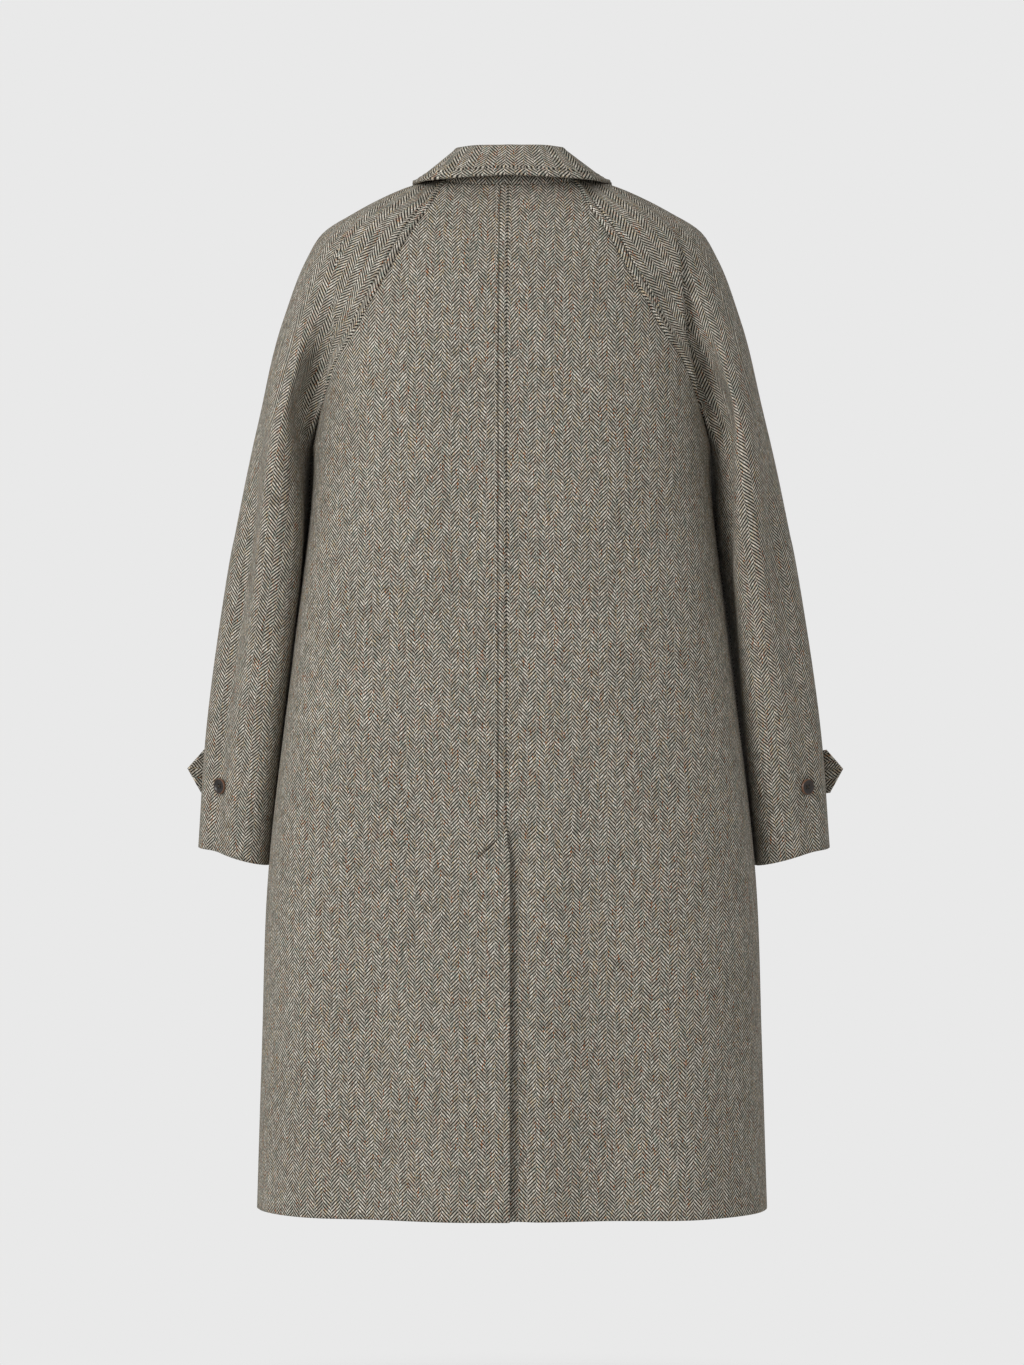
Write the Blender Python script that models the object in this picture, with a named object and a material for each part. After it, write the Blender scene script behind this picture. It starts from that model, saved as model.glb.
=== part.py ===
"""Raglan overcoat, filled out as worn: hollow cloth panels sewn edge to edge.

The back faces -Y, the wearer's right side is +X and +Z is up. The origin lies at the height of the
collar seam at centre back, in the middle of the neck, where a wearer's shoulders hold the coat.
Every panel is a wall over a grid of outer points; neighbours share their seam's points and the
direction of its thickness, and then draw back from each other by half a seam gap.
"""
import bpy
import numpy as np

# Driving dimensions, in metres
CLOTH = 0.0024
COLLAR_CLOTH = 0.0030
TAB_CLOTH = 0.0028
SEAM_GAP = 0.0004
LIE_GAP = 0.0003
HEM = -1.075
VENT_TOP = -0.675
VENT_UNDERLAP = 0.050
VENT_EDGE = 0.003
FRONT_LAP = 0.036
LAP_SINK = 0.0045
LAP_LEVEL = 0.006
LAP_EASE = 0.026
LAP_DROP = 0.005
FRONT_NECK = -0.075
NECK_SCOOP = 1.8
BACK_NECK_DIP = 0.006
SIDE_SEAM_TURN = np.radians(6.0)
SIDE_SEAM_EASE = 0.15
FACING_GAP = 0.0008
FOLD_DOWN = np.array([0.0, 0.0, -1.0])
LEVEL_STEP = 0.001

# Body sections: half width at the silhouette, depth of back and front from the mid plane, squareness
TORSO = (
    # height, half_width, back_depth, front_depth, back_squareness, front_squareness
    (-1.075, 0.2700, 0.152, 0.152, 2.45, 2.3),
    (-0.900, 0.2645, 0.149, 0.149, 2.50, 2.3),
    (-0.740, 0.2590, 0.146, 0.146, 2.60, 2.3),
    (-0.490, 0.2310, 0.141, 0.140, 2.70, 2.2),
    (-0.280, 0.2060, 0.138, 0.131, 2.70, 2.2),
    (-0.226, 0.2010, 0.137, 0.122, 2.70, 2.2),
    (-0.150, 0.2030, 0.132, 0.099, 2.50, 2.2),
    (-0.090, 0.2060, 0.122, 0.066, 2.20, 2.2),
    (-0.040, 0.1850, 0.103, 0.043, 2.10, 2.1),
    (0.014, 0.0880, 0.073, 0.024, 2.00, 2.0),
)

# Raglan seams: angle round the body from centre back, or from centre front
RAGLAN_BACK = (
    # height, angle_degrees
    (0.005, 39.5),
    (-0.041, 29.6),
    (-0.079, 33.4),
    (-0.140, 44.4),
    (-0.186, 61.4),
    (-0.228, 76.0),
)
RAGLAN_FRONT = (
    # height, angle_degrees
    (-0.008, 31.5),
    (-0.046, 26.5),
    (-0.090, 30.1),
    (-0.140, 38.0),
    (-0.188, 50.0),
    (-0.230, 69.0),
)

# Overarm line, from the neck over the shoulder to the cuff
OVERARM = (
    # x, y, z
    (0.0740, -0.006, 0.013),
    (0.1140, -0.003, 0.0005),
    (0.1670, 0.000, -0.0245),
    (0.2030, 0.003, -0.0480),
    (0.2180, 0.005, -0.073),
    (0.2415, 0.008, -0.136),
    (0.2645, 0.012, -0.231),
    (0.2990, 0.020, -0.391),
    (0.3286, 0.034, -0.581),
    (0.3370, 0.043, -0.690),
)
CAP_SHARE = 0.462

# Sleeve head between a raglan seam and the overarm line: each point's place across, from seam (0)
# to overarm (1), and its depth behind or before the overarm line
HEAD_BACK = (
    # along, hollow_at, hollow_depth, full_at, full_depth, turn_at, turn_depth
    (0.00, 0.45, 0.039, 0.90, 0.022, 1.05, 0.010),
    (0.25, 0.36, 0.090, 0.73, 0.070, 0.955, 0.036),
    (0.45, 0.30, 0.090, 0.65, 0.078, 0.92, 0.046),
    (0.62, 0.24, 0.072, 0.56, 0.080, 0.93, 0.047),
    (0.75, 0.20, 0.056, 0.52, 0.089, 0.91, 0.059),
    (0.88, 0.19, 0.058, 0.52, 0.096, 0.89, 0.068),
    (1.00, 0.150, 0.073, 0.50, 0.098, 0.875, 0.073),
)
HEAD_FRONT = (
    # along, hollow_at, hollow_depth, full_at, full_depth, turn_at, turn_depth
    (0.00, 0.45, 0.026, 0.90, 0.014, 1.05, 0.006),
    (0.25, 0.36, 0.047, 0.73, 0.036, 0.955, 0.018),
    (0.45, 0.30, 0.066, 0.65, 0.056, 0.92, 0.033),
    (0.62, 0.24, 0.063, 0.56, 0.065, 0.93, 0.041),
    (0.75, 0.20, 0.049, 0.52, 0.073, 0.91, 0.049),
    (0.88, 0.16, 0.048, 0.52, 0.079, 0.89, 0.057),
    (1.00, 0.080, 0.062, 0.50, 0.083, 0.875, 0.062),
)

# Sleeve below the underarm: width across, depth to back and front, fall of the ring to its inner side
SLEEVE_TUBE = (
    # along, width, back_depth, front_depth, tilt_degrees, front_corner_at
    (0.00, 0.0620, 0.098, 0.083, 8.0, 0.080),
    (0.06, 0.0640, 0.096, 0.083, 8.0, 0.020),
    (0.16, 0.0727, 0.093, 0.082, 8.0, -0.020),
    (0.45, 0.0810, 0.078, 0.075, 9.0, -0.020),
    (0.75, 0.0860, 0.065, 0.065, 11.0, -0.020),
    (1.00, 0.0840, 0.057, 0.057, 13.0, -0.020),
)
INNER_SEAM_EASE = 0.35
BACK_CORNER_AT = 0.125
OUTER_CORNER_AT = 0.875
TUBE_CORNER_DEPTH = 0.75

# Soft flutes of the skirt: place across at the hem, half width, rise (+) or hollow (-), top height
FLUTES_BACK = (
    # x, half_width, rise, top
    (-0.215, 0.050, 0.005, -0.50),
    (-0.140, 0.055, -0.007, -0.55),
    (-0.045, 0.060, 0.006, -0.60),
    (0.105, 0.065, -0.011, -0.52),
    (0.195, 0.050, 0.006, -0.58),
)
FLUTES_FRONT = (
    # x, half_width, rise, top
    (-0.190, 0.060, 0.007, -0.50),
    (-0.105, 0.055, -0.008, -0.45),
    (0.115, 0.060, -0.007, -0.55),
    (0.200, 0.055, 0.006, -0.48),
)

# Collar, by share of the neckline from centre back to centre front
COLLAR = (
    # along, stand, lean, edge_out, edge_up, edge_back
    (0.00, 0.0350, 0.0040, 0.026, 0.009, 0.000),
    (0.16, 0.0335, 0.0100, 0.026, 0.005, 0.000),
    (0.28, 0.0275, 0.0175, 0.027, -0.001, 0.000),
    (0.40, 0.0205, 0.0240, 0.029, -0.007, 0.000),
    (0.50, 0.0165, 0.0230, 0.030, -0.011, 0.000),
    (0.62, 0.0140, 0.0150, 0.032, -0.019, 0.000),
    (0.80, 0.0125, 0.0030, 0.031, -0.044, 0.006),
    (1.00, 0.0120, 0.0000, 0.031, -0.046, 0.052),
)
ROLL_RADIUS = 0.0064
ROLL_END = np.radians(30.0)
LEAF_CROWN = 0.001
LEAF_LIFT = 0.0015
LEAF_PASSES = 3
GROUND_STEPS = 4
COLLAR_END_GAP = 0.003
STAND_LEAN = 0.8
FRAME_SMOOTHING = 4
ROLL_ROWS = 5
LEAF_ROWS = 3
UP = np.array([0.0, 0.0, 1.0])

# Cuff tab: place along the sleeve below the underarm, width, free point, and the sleeve front's
# columns that it crosses
TAB_ALONG = 0.829
TAB_WIDTH = 0.045
TAB_POINT = 0.016
TAB_FREE = 0.042
TAB_LIFT = 0.0003
TAB_FROM = 6.25
TAB_TO = 2.0

# Buttons: radius, thickness and place
SMALL_BUTTON = 0.0085
COAT_BUTTON = 0.0120
BUTTON_THICK = 0.0038
CUFF_BUTTON_X = 0.3149
CUFF_BUTTON_HEIGHT = -0.627
CUFF_BUTTON_LIFT = 0.0005
FRONT_BUTTON_TOP = -0.112
FRONT_BUTTON_STEP = 0.150
FRONT_BUTTONS = 4
BUTTON_SIDES = 16
SEAT_STEP = 0.015

# Grid counts
BACK_COLUMNS = 11
FRONT_COLUMNS = 10
SLEEVE_COLUMNS = 8
HEAD_ROWS = 12
TUBE_ROWS = 12
SKIRT_ROWS = 9
CHEST_ROWS = 8
UNDERARM_DROPS = (0.028, 0.010, 0.0)
LAP_COLUMNS = 2
TAB_COLUMNS = 18
FINE = 160

TWEED = (0.20, 0.165, 0.13, 1.0)
TWEED_ROUGHNESS = 0.95
HORN = (0.022, 0.014, 0.010, 1.0)
HORN_ROUGHNESS = 0.35
SHARP_ANGLE = np.radians(40.0)


def spline(knots, values):
    """Smooth curve through rows of values, read at any knot value."""
    knots = np.asarray(knots, float)
    values = np.asarray(values, float)
    slopes = np.gradient(values, knots, axis=0)

    def at(place):
        place = np.clip(np.asarray(place, float), knots[0], knots[-1])
        i = np.clip(np.searchsorted(knots, place, side="right") - 1, 0, len(knots) - 2)
        step = (knots[i + 1] - knots[i])[..., None]
        t = (place - knots[i])[..., None] / step
        start = values[i] * (1 + 2 * t) * (1 - t) ** 2 + slopes[i] * step * t * (1 - t) ** 2
        end = values[i + 1] * t * t * (3 - 2 * t) + slopes[i + 1] * step * t * t * (t - 1)
        return start + end

    return at


def table(rows):
    """A table's other columns as smooth functions of its first column."""
    rows = np.asarray(rows, float)
    return spline(rows[:, 0], rows[:, 1:])


def lengths(line):
    steps = np.linalg.norm(np.diff(line, axis=0), axis=1)
    return np.concatenate([[0.0], np.cumsum(steps)])


def spaced(line, shares):
    """Points of a polyline at the given shares of its length."""
    run = lengths(line)
    place = np.asarray(shares) * run[-1]
    return np.stack([np.interp(place, run, line[:, k]) for k in range(3)], axis=-1)


def through(points):
    """Fine polyline of the smooth curve through a few points."""
    points = np.asarray(points, float)
    run = lengths(points)
    return spline(run, points)(np.linspace(0.0, run[-1], FINE))


def unit(vectors):
    size = np.linalg.norm(vectors, axis=-1, keepdims=True)
    return vectors / np.maximum(size, 1e-12)


def smoothed(row):
    """A row of points drawn towards the middle of each point's neighbours."""
    row = row.copy()
    row[1:-1] = (row[:-2] + 2 * row[1:-1] + row[2:]) / 4
    return row


def ease(t):
    t = np.clip(t, 0.0, 1.0)
    return t * t * (3 - 2 * t)


torso = table(TORSO)
overarm = through(OVERARM)
cap_line = spaced(overarm, np.linspace(0.0, CAP_SHARE, FINE))
arm_line = spaced(overarm, np.linspace(CAP_SHARE, 1.0, FINE))
head_back = table(HEAD_BACK)
head_front = table(HEAD_FRONT)
sleeve_tube = table(SLEEVE_TUBE)
collar_row = table(COLLAR)


def underarm():
    """Point where body and sleeve seams meet."""
    width, _, _, tilt, _ = sleeve_tube(0.0)
    tilt = np.radians(tilt)
    crest = cap_line[-1]
    return crest - np.array([width * np.cos(tilt), crest[1], width * np.sin(tilt)])


UNDERARM = underarm()
UNDERARM_FLARE = UNDERARM[0] - torso(UNDERARM[2])[0]
FLARE_FADE = 0.011
FLARE_NARROWNESS = 12


def flutes(x, height, rows):
    """Sum of the skirt's soft flutes."""
    total = np.zeros(np.broadcast(x, height).shape)
    for place, half, rise, top in rows:
        grow = ease((top - height) / (top - HEM))
        total = total + rise * grow * np.exp(-((x - place) / half) ** 2 * 2)
    return total


def surface_depth(x, height, at_back):
    """Depth of the body's outer surface at a place across and a height."""
    width, back, front, back_power, front_power = np.moveaxis(torso(height), -1, 0)
    power = np.where(at_back, back_power, front_power)
    share = np.clip(np.abs(x) / width, 0.0, 1.0)
    reach = (1 - share ** power) ** (1 / power)
    if at_back:
        return -back * reach - flutes(x, height, FLUTES_BACK)
    return front * reach + flutes(x, height, FLUTES_FRONT)


def body_point(angle, height, hand):
    """Outer point of the body; angle runs from centre back (0) round the hand's side to centre front."""
    angle, height = np.broadcast_arrays(np.asarray(angle, float), np.asarray(height, float))
    width, back, front, back_power, front_power = np.moveaxis(torso(height), -1, 0)
    at_back = np.cos(angle) > 0
    power = np.where(at_back, back_power, front_power)
    depth = np.where(at_back, -back, front)
    across = np.sin(np.clip(angle, 0.0, np.pi))
    x = width * across ** (2 / power)
    y = depth * np.abs(np.cos(angle)) ** (2 / power)
    flare = UNDERARM_FLARE * np.exp((height - UNDERARM[2]) / FLARE_FADE) * (height <= UNDERARM[2] + 1e-6)
    folds = np.where(at_back, -flutes(hand * x, height, FLUTES_BACK), flutes(hand * x, height, FLUTES_FRONT))
    x = x + flare * across ** FLARE_NARROWNESS
    return np.stack([hand * x, y + folds, height], axis=-1)


def seam_curve(rows, from_front):
    """Heights and angles of a raglan seam, by share of its length from the neck to the underarm."""
    rows = list(rows) + [(UNDERARM[2], 90.0)]
    line = through([(height, np.radians(angle), 0.0) for height, angle in rows])
    angle = np.pi - line[:, 1] if from_front else line[:, 1]
    run = lengths(body_point(angle, line[:, 0], 1))
    share = run / run[-1]

    def at(place):
        return np.interp(place, share, line[:, 0]), np.interp(place, share, angle)

    return at


raglan_back = seam_curve(RAGLAN_BACK, False)
raglan_front = seam_curve(RAGLAN_FRONT, True)


def body_row(angles, heights, hand, columns):
    """One row of body points, evenly spaced along the cloth."""
    return spaced(body_point(angles, heights, hand), np.linspace(0.0, 1.0, columns + 1))


def skirt_heights():
    """Rows of the body below the underarm, from the hem up."""
    low = np.linspace(HEM, VENT_TOP, SKIRT_ROWS + 1)
    close = UNDERARM[2] - np.array(UNDERARM_DROPS)
    high = np.linspace(VENT_TOP, close[0], CHEST_ROWS + 1)[1:-1]
    return np.concatenate([low, high, close])


def head_shares():
    """Rows of the sleeve head from the underarm to the neck, closer together at both ends."""
    even = np.linspace(0.0, 1.0, HEAD_ROWS + 1)[1:]
    crowded = (1 - np.cos(np.pi * even)) / 2
    return 1 - (even + crowded) / 2


HEIGHTS = skirt_heights()
HEAD_SHARES = head_shares()
VENT_ROW = SKIRT_ROWS


def side_angle(height):
    """Side seam, a little in front of the silhouette below the underarm."""
    return np.pi / 2 + SIDE_SEAM_TURN * ease((UNDERARM[2] - height) / SIDE_SEAM_EASE)


def back_grid(hand):
    """Rows from hem to neck, columns from centre back to the side or raglan seam."""
    sweep = np.linspace(0.0, 1.0, FINE)
    rows = [body_row(sweep * side_angle(z), z, hand, BACK_COLUMNS) for z in HEIGHTS]
    for share in HEAD_SHARES:
        height, angle = raglan_back(share)
        dip = BACK_NECK_DIP * (1 - share) ** 3 * (1 - sweep ** 2)
        rows.append(body_row(sweep * angle, height - dip, hand, BACK_COLUMNS))
    return np.array(rows)


def front_grid(hand):
    """Rows from hem to neck, columns from the side or raglan seam to centre front."""
    sweep = np.linspace(0.0, 1.0, FINE)
    rows = []
    for z in HEIGHTS:
        start = side_angle(z)
        rows.append(body_row(start + (np.pi - start) * sweep, z, hand, FRONT_COLUMNS))
    for share in HEAD_SHARES:
        height, angle = raglan_front(share)
        centre = UNDERARM[2] + (FRONT_NECK - UNDERARM[2]) * (1 - share)
        scoop = (1 - sweep) ** NECK_SCOOP
        heights = centre + (height - centre) * scoop
        rows.append(body_row(angle + (np.pi - angle) * sweep, heights, hand, FRONT_COLUMNS))
    return np.array(rows)


def station(crest, back_seam, front_seam, shape_back, shape_front):
    """Sleeve ring from the back seam over the overarm line to the front seam, and the places of its
    named points along its back and front halves."""
    halves = []
    for seam, shape, side in ((back_seam, shape_back, -1), (front_seam, shape_front, 1)):
        points = [seam]
        for at, depth in shape:
            point = seam + (crest - seam) * at
            point[1] = crest[1] + side * depth
            points.append(point)
        halves.append(points)
    ring = np.array(halves[0] + [crest] + halves[1][::-1])
    run = lengths(ring)
    middle = len(halves[0])
    return spline(run, ring), run[:middle + 1], run[middle:]


def sleeve_ring(along):
    """Closed ring of the sleeve below the underarm, as its back and front halves."""
    width, back_depth, front_depth, tilt, front_corner = sleeve_tube(along)
    tilt = np.radians(tilt)
    crest = spaced(arm_line, [along])[0]
    turn_in = crest[1] * (1 - ease(along / INNER_SEAM_EASE))
    inner = crest - np.array([width * np.cos(tilt), turn_in, width * np.sin(tilt)])
    shapes = []
    for depth, inner_at in ((back_depth, BACK_CORNER_AT), (front_depth, front_corner)):
        corner = depth * TUBE_CORNER_DEPTH
        shapes.append(((inner_at, corner), (0.5, depth), (OUTER_CORNER_AT, corner)))
    return station(crest, inner, inner, *shapes)


def head_ring(share):
    """Open ring of the sleeve head, from the back raglan seam to the front one."""
    crest = spaced(cap_line, [share])[0]
    back_height, back_angle = raglan_back(share)
    front_height, front_angle = raglan_front(share)
    back_seam = body_point(back_angle, back_height, 1)
    front_seam = body_point(front_angle, front_height, 1)
    shapes = (head_back(share).reshape(3, 2), head_front(share).reshape(3, 2))
    return station(crest, back_seam, front_seam, *shapes)


def sleeve_rows():
    """Both halves of the right sleeve, rows from the cuff up to the neck."""
    rings = [sleeve_ring(along) for along in np.linspace(1.0, 0.0, TUBE_ROWS + 1)]
    rings += [head_ring(share) for share in HEAD_SHARES]
    halves = []
    for half in (1, 2):
        rows = []
        for ring in rings:
            curve, named = ring[0], ring[half]
            columns = np.linspace(0, len(named) - 1, SLEEVE_COLUMNS + 1)
            rows.append(curve(np.interp(columns, np.arange(len(named)), named)))
        halves.append(np.array(rows))
    return halves


def mirrored(points, hand):
    return points * np.array([hand, 1.0, 1.0])


def grid_normals(points, sign):
    """Unit normals of a grid, from its columns and rows."""
    across = np.gradient(points, axis=1)
    up = np.gradient(points, axis=0)
    return unit(np.cross(across, up)) * sign


class Panel:
    """A piece of cloth: a grid of outer points, its cells, wall and outward side."""

    def __init__(self, points, sign, wall=CLOTH, cells=None):
        self.points = np.array(points, float)
        self.normals = grid_normals(self.points, sign)
        self.wall = wall
        rows, columns = self.points.shape[:2]
        self.cells = np.ones((rows - 1, columns - 1), bool) if cells is None else cells

    def used(self):
        rows, columns = self.points.shape[:2]
        used = np.zeros((rows, columns), bool)
        for i, j in zip(*np.nonzero(self.cells)):
            used[i:i + 2, j:j + 2] = True
        return used

    def inward(self):
        """Direction from each border point into the panel."""
        rows, columns = self.points.shape[:2]
        pull = np.zeros_like(self.points)
        for i, j in zip(*np.nonzero(self.used())):
            for di, dj in ((1, 0), (-1, 0), (0, 1), (0, -1)):
                a, b = i + di, j + dj
                back_i, back_j = i - di, j - dj
                inside = 0 <= a < rows and 0 <= b < columns and self.used_map[a, b]
                behind = 0 <= back_i < rows and 0 <= back_j < columns and self.used_map[back_i, back_j]
                if inside and not behind:
                    pull[i, j] += unit(self.points[a, b] - self.points[i, j])
        return pull


def sew(panels):
    """Give panels that share seam points one thickness direction there, then part their edges."""
    meetings = {}
    for name, panel in panels.items():
        panel.used_map = panel.used()
        for i, j in zip(*np.nonzero(panel.used_map)):
            key = tuple(np.round(panel.points[i, j], 6))
            meetings.setdefault(key, []).append((name, i, j))
    pulls = {name: panel.inward() for name, panel in panels.items()}
    for members in meetings.values():
        if len({name for name, _, _ in members}) < 2:
            continue
        mean = sum(panels[name].normals[i, j] for name, i, j in members) / len(members)
        facing = 1 - np.linalg.norm(mean)
        mean = unit(mean + FOLD_DOWN * facing)
        for name, i, j in members:
            panel = panels[name]
            apart = panel.normals[i, j] * FACING_GAP * facing
            panel.points[i, j] += pulls[name][i, j] * SEAM_GAP / 2 - apart
            panel.normals[i, j] = mean


def material(name, colour, roughness):
    finish = bpy.data.materials.new(name)
    finish.use_nodes = True
    shader = finish.node_tree.nodes["Principled BSDF"]
    shader.inputs["Base Color"].default_value = colour
    shader.inputs["Roughness"].default_value = roughness
    shader.inputs["Metallic"].default_value = 0.0
    return finish


def add_object(name, vertices, faces, colour, roughness):
    mesh = bpy.data.meshes.new(name)
    mesh.from_pydata([tuple(v) for v in vertices], [], faces)
    mesh.validate()
    mesh.shade_smooth()
    mesh.set_sharp_from_angle(angle=SHARP_ANGLE)
    mesh.materials.append(material(name + "_finish", colour, roughness))
    thing = bpy.data.objects.new(name, mesh)
    bpy.context.scene.collection.objects.link(thing)


def higher(a, b):
    """Order of two edge points that is the same on both sides of a seam."""
    step = a - b
    axis = 2 if abs(step[2]) > LEVEL_STEP else 1
    return step[axis] > 0


def add_panel(name, panel):
    """Close a panel into a wall: outer face, inner face and the edges between them."""
    outer = panel.points
    inner = outer - panel.normals * panel.wall
    index = -np.ones(outer.shape[:2], int)
    used = panel.used()
    index[used] = np.arange(np.count_nonzero(used))
    count = np.count_nonzero(used)
    vertices = np.concatenate([outer[used], inner[used]])
    quads = []
    for i, j in zip(*np.nonzero(panel.cells)):
        quads.append([index[i, j], index[i, j + 1], index[i + 1, j + 1], index[i + 1, j]])
    corners = vertices[np.array(quads)]
    facing = np.cross(corners[:, 2] - corners[:, 0], corners[:, 3] - corners[:, 1])
    if np.sum(facing * panel.normals[:-1, :-1][panel.cells]) < 0:
        quads = [quad[::-1] for quad in quads]
    edges = {}
    for quad in quads:
        for a, b in zip(quad, quad[1:] + quad[:1]):
            edges[(a, b)] = True
    faces = [list(map(int, quad)) for quad in quads]
    faces += [[int(v) + count for v in quad[::-1]] for quad in quads]
    for a, b in edges:
        if (b, a) in edges:
            continue
        if higher(vertices[a], vertices[b]):
            faces.append([int(a), int(a) + count, int(b) + count, int(b)])
        else:
            faces.append([int(b), int(a), int(a) + count, int(b) + count])
    triangles = []
    for face in faces:
        triangles += [[face[0], face[1], face[2]], [face[0], face[2], face[3]]]
    add_object(name, vertices, triangles, TWEED, TWEED_ROUGHNESS)


def lap_sink(x, edge):
    """How far an underlapping panel lies inside the one that covers it."""
    return LAP_SINK * (1 - ease((x - edge - LAP_LEVEL) / LAP_EASE))


def laps(edge, reach, at_back, drop=0.0):
    """Columns of a lap beyond a centre line, following the body's surface."""
    columns = []
    for k in range(1, LAP_COLUMNS + 1):
        column = edge.copy()
        column[:, 0] += reach * k / LAP_COLUMNS
        column[-1, 2] -= drop
        column[:, 1] = surface_depth(column[:, 0], column[:, 2], at_back)
        columns.append(column)
    return np.stack(columns, axis=1)


def build_backs(panels):
    """Two backs; below the vent's top the left one covers an underlap of the right one."""
    left = back_grid(-1)
    left[:VENT_ROW, 0, 0] = VENT_EDGE
    panels["back_left"] = Panel(left, -1)
    right = back_grid(1)
    under = laps(right[:, 0], -VENT_UNDERLAP, True)[:, ::-1]
    right = np.concatenate([under, right], axis=1)
    vented = np.arange(len(right)) <= VENT_ROW
    right[:, :, 1] += lap_sink(right[:, :, 0], VENT_EDGE) * vented[:, None]
    cells = np.ones((right.shape[0] - 1, right.shape[1] - 1), bool)
    cells[VENT_ROW:, :LAP_COLUMNS] = False
    panels["back_right"] = Panel(right, 1, cells=cells)


def build_fronts(panels):
    """Two fronts that lap past centre front, left over right."""
    for hand, side in ((-1, "left"), (1, "right")):
        front = front_grid(hand)
        lap = laps(front[:, -1], -hand * FRONT_LAP, False, LAP_DROP)
        front = np.concatenate([front, lap], axis=1)
        if side == "right":
            front[:, :, 1] -= lap_sink(front[:, :, 0], FRONT_LAP)
        panels["front_" + side] = Panel(front, hand)


def build_sleeves(panels):
    back, front = sleeve_rows()
    for hand, side in ((-1, "left"), (1, "right")):
        panels["sleeve_back_" + side] = Panel(mirrored(back, hand), hand)
        panels["sleeve_front_" + side] = Panel(mirrored(front, hand), hand)


def neckline():
    """Neck seam from centre front on the left, round the back, to centre front on the right."""
    back = back_grid(1)[-1]
    sleeve_back, sleeve_front = sleeve_rows()
    front = front_grid(1)[-1]
    right = np.concatenate([back, sleeve_back[-1][1:], sleeve_front[-1][1:], front[1:]])
    right[-1] += np.array([COLLAR_END_GAP, 0.0, SEAM_GAP])
    left = mirrored(right[1:], -1)[::-1]
    return np.concatenate([left, right])


def collar_frames():
    """Seam points, their share from centre back, and directions along, up the stand and out of it."""
    seam = neckline()
    middle = len(seam) // 2
    run = lengths(seam)
    share = np.abs(run - run[middle]) / run[middle]
    along = np.gradient(seam, axis=0)
    for _ in range(FRAME_SMOOTHING):
        along = smoothed(along)
    along = unit(along)
    rise = unit(UP - STAND_LEAN * along[:, 2:] * along)
    outward = unit(np.cross(along, rise))
    toward_front = along * np.sign(np.arange(len(seam)) - middle)[:, None]
    return seam, share, rise, outward, toward_front


def between(grid, up, across):
    """Points of every cell of a grid at a share up and across it."""
    low = grid[:-1, :-1] * (1 - across) + grid[:-1, 1:] * across
    high = grid[1:, :-1] * (1 - across) + grid[1:, 1:] * across
    return (low * (1 - up) + high * up).reshape(-1, 3)


def ground_of(panels):
    """Points spread over the outer faces of panels, with the way each one faces."""
    ground = []
    facing = []
    for panel in panels:
        for u, v in np.ndindex(GROUND_STEPS, GROUND_STEPS):
            ground.append(between(panel.points, u / GROUND_STEPS, v / GROUND_STEPS))
            facing.append(between(panel.normals, u / GROUND_STEPS, v / GROUND_STEPS))
    return np.concatenate(ground), unit(np.concatenate(facing))


def moved_clear(points, ground, facing, clearance):
    """Points lifted off the panels under them until they stand clear of their outer faces."""
    lifted = points.copy()
    for i, point in enumerate(points):
        nearest = np.argmin(np.sum((ground - point) ** 2, axis=1))
        height = np.dot(point - ground[nearest], facing[nearest])
        lifted[i] += facing[nearest] * max(0.0, clearance - height)
    return lifted


def build_collar(panels):
    """Stand on the neck seam, and a fall that rolls over its top and turns down outside."""
    under = ground_of(panels.values())
    seam, share, rise, outward, toward_front = collar_frames()
    stand, lean, edge_out, edge_up, edge_back = (column[:, None] for column in collar_row(share).T)
    level_out = unit(outward * np.array([1.0, 1.0, 0.0]))
    climb = rise * stand - level_out * lean
    panels["collar_stand"] = Panel([seam + climb * t for t in (0.0, 0.5, 1.0)], 1, COLLAR_CLOTH)
    panels["collar_stand"].normals[0] = outward
    base = seam + climb + rise * LIE_GAP
    rows = []
    for turn in np.linspace(np.pi, ROLL_END, ROLL_ROWS):
        out = ROLL_RADIUS - COLLAR_CLOTH + ROLL_RADIUS * np.cos(turn)
        rows.append(base + outward * out + rise * ROLL_RADIUS * np.sin(turn))
    edge = seam + level_out * edge_out + UP * edge_up - toward_front * edge_back
    for t in np.linspace(0.0, 1.0, LEAF_ROWS + 1)[1:]:
        crown = UP * LEAF_CROWN * 4 * t * (1 - t)
        row = rows[ROLL_ROWS - 1] * (1 - t) + edge * t + crown
        for _ in range(LEAF_PASSES):
            row = smoothed(moved_clear(row, *under, COLLAR_CLOTH + LEAF_LIFT))
        rows.append(moved_clear(row, *under, COLLAR_CLOTH + LEAF_LIFT))
    panels["collar_fall"] = Panel(rows, -1, COLLAR_CLOTH)
    panels["collar_fall"].normals[0] = -outward


def tab_path():
    """Right tab's centre line on its outer face, with the directions along it, up the sleeve and out."""
    grid = sleeve_rows()[1]
    place = (1 - TAB_ALONG) * TUBE_ROWS
    row = int(place)
    line = grid[row] + (grid[row + 1] - grid[row]) * (place - row)
    climb = grid[row + 1] - grid[row]
    columns = np.linspace(TAB_FROM, TAB_TO, TAB_COLUMNS)
    whole = np.arange(SLEEVE_COLUMNS + 1)
    path = np.stack([np.interp(columns, whole, line[:, k]) for k in range(3)], axis=-1)
    rise = unit(np.stack([np.interp(columns, whole, climb[:, k]) for k in range(3)], axis=-1))
    along = unit(np.gradient(path, axis=0))
    out = unit(np.cross(rise, along))
    path = path + out * (LIE_GAP + TAB_CLOTH + TAB_LIFT)
    return path, along, rise, out


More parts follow.
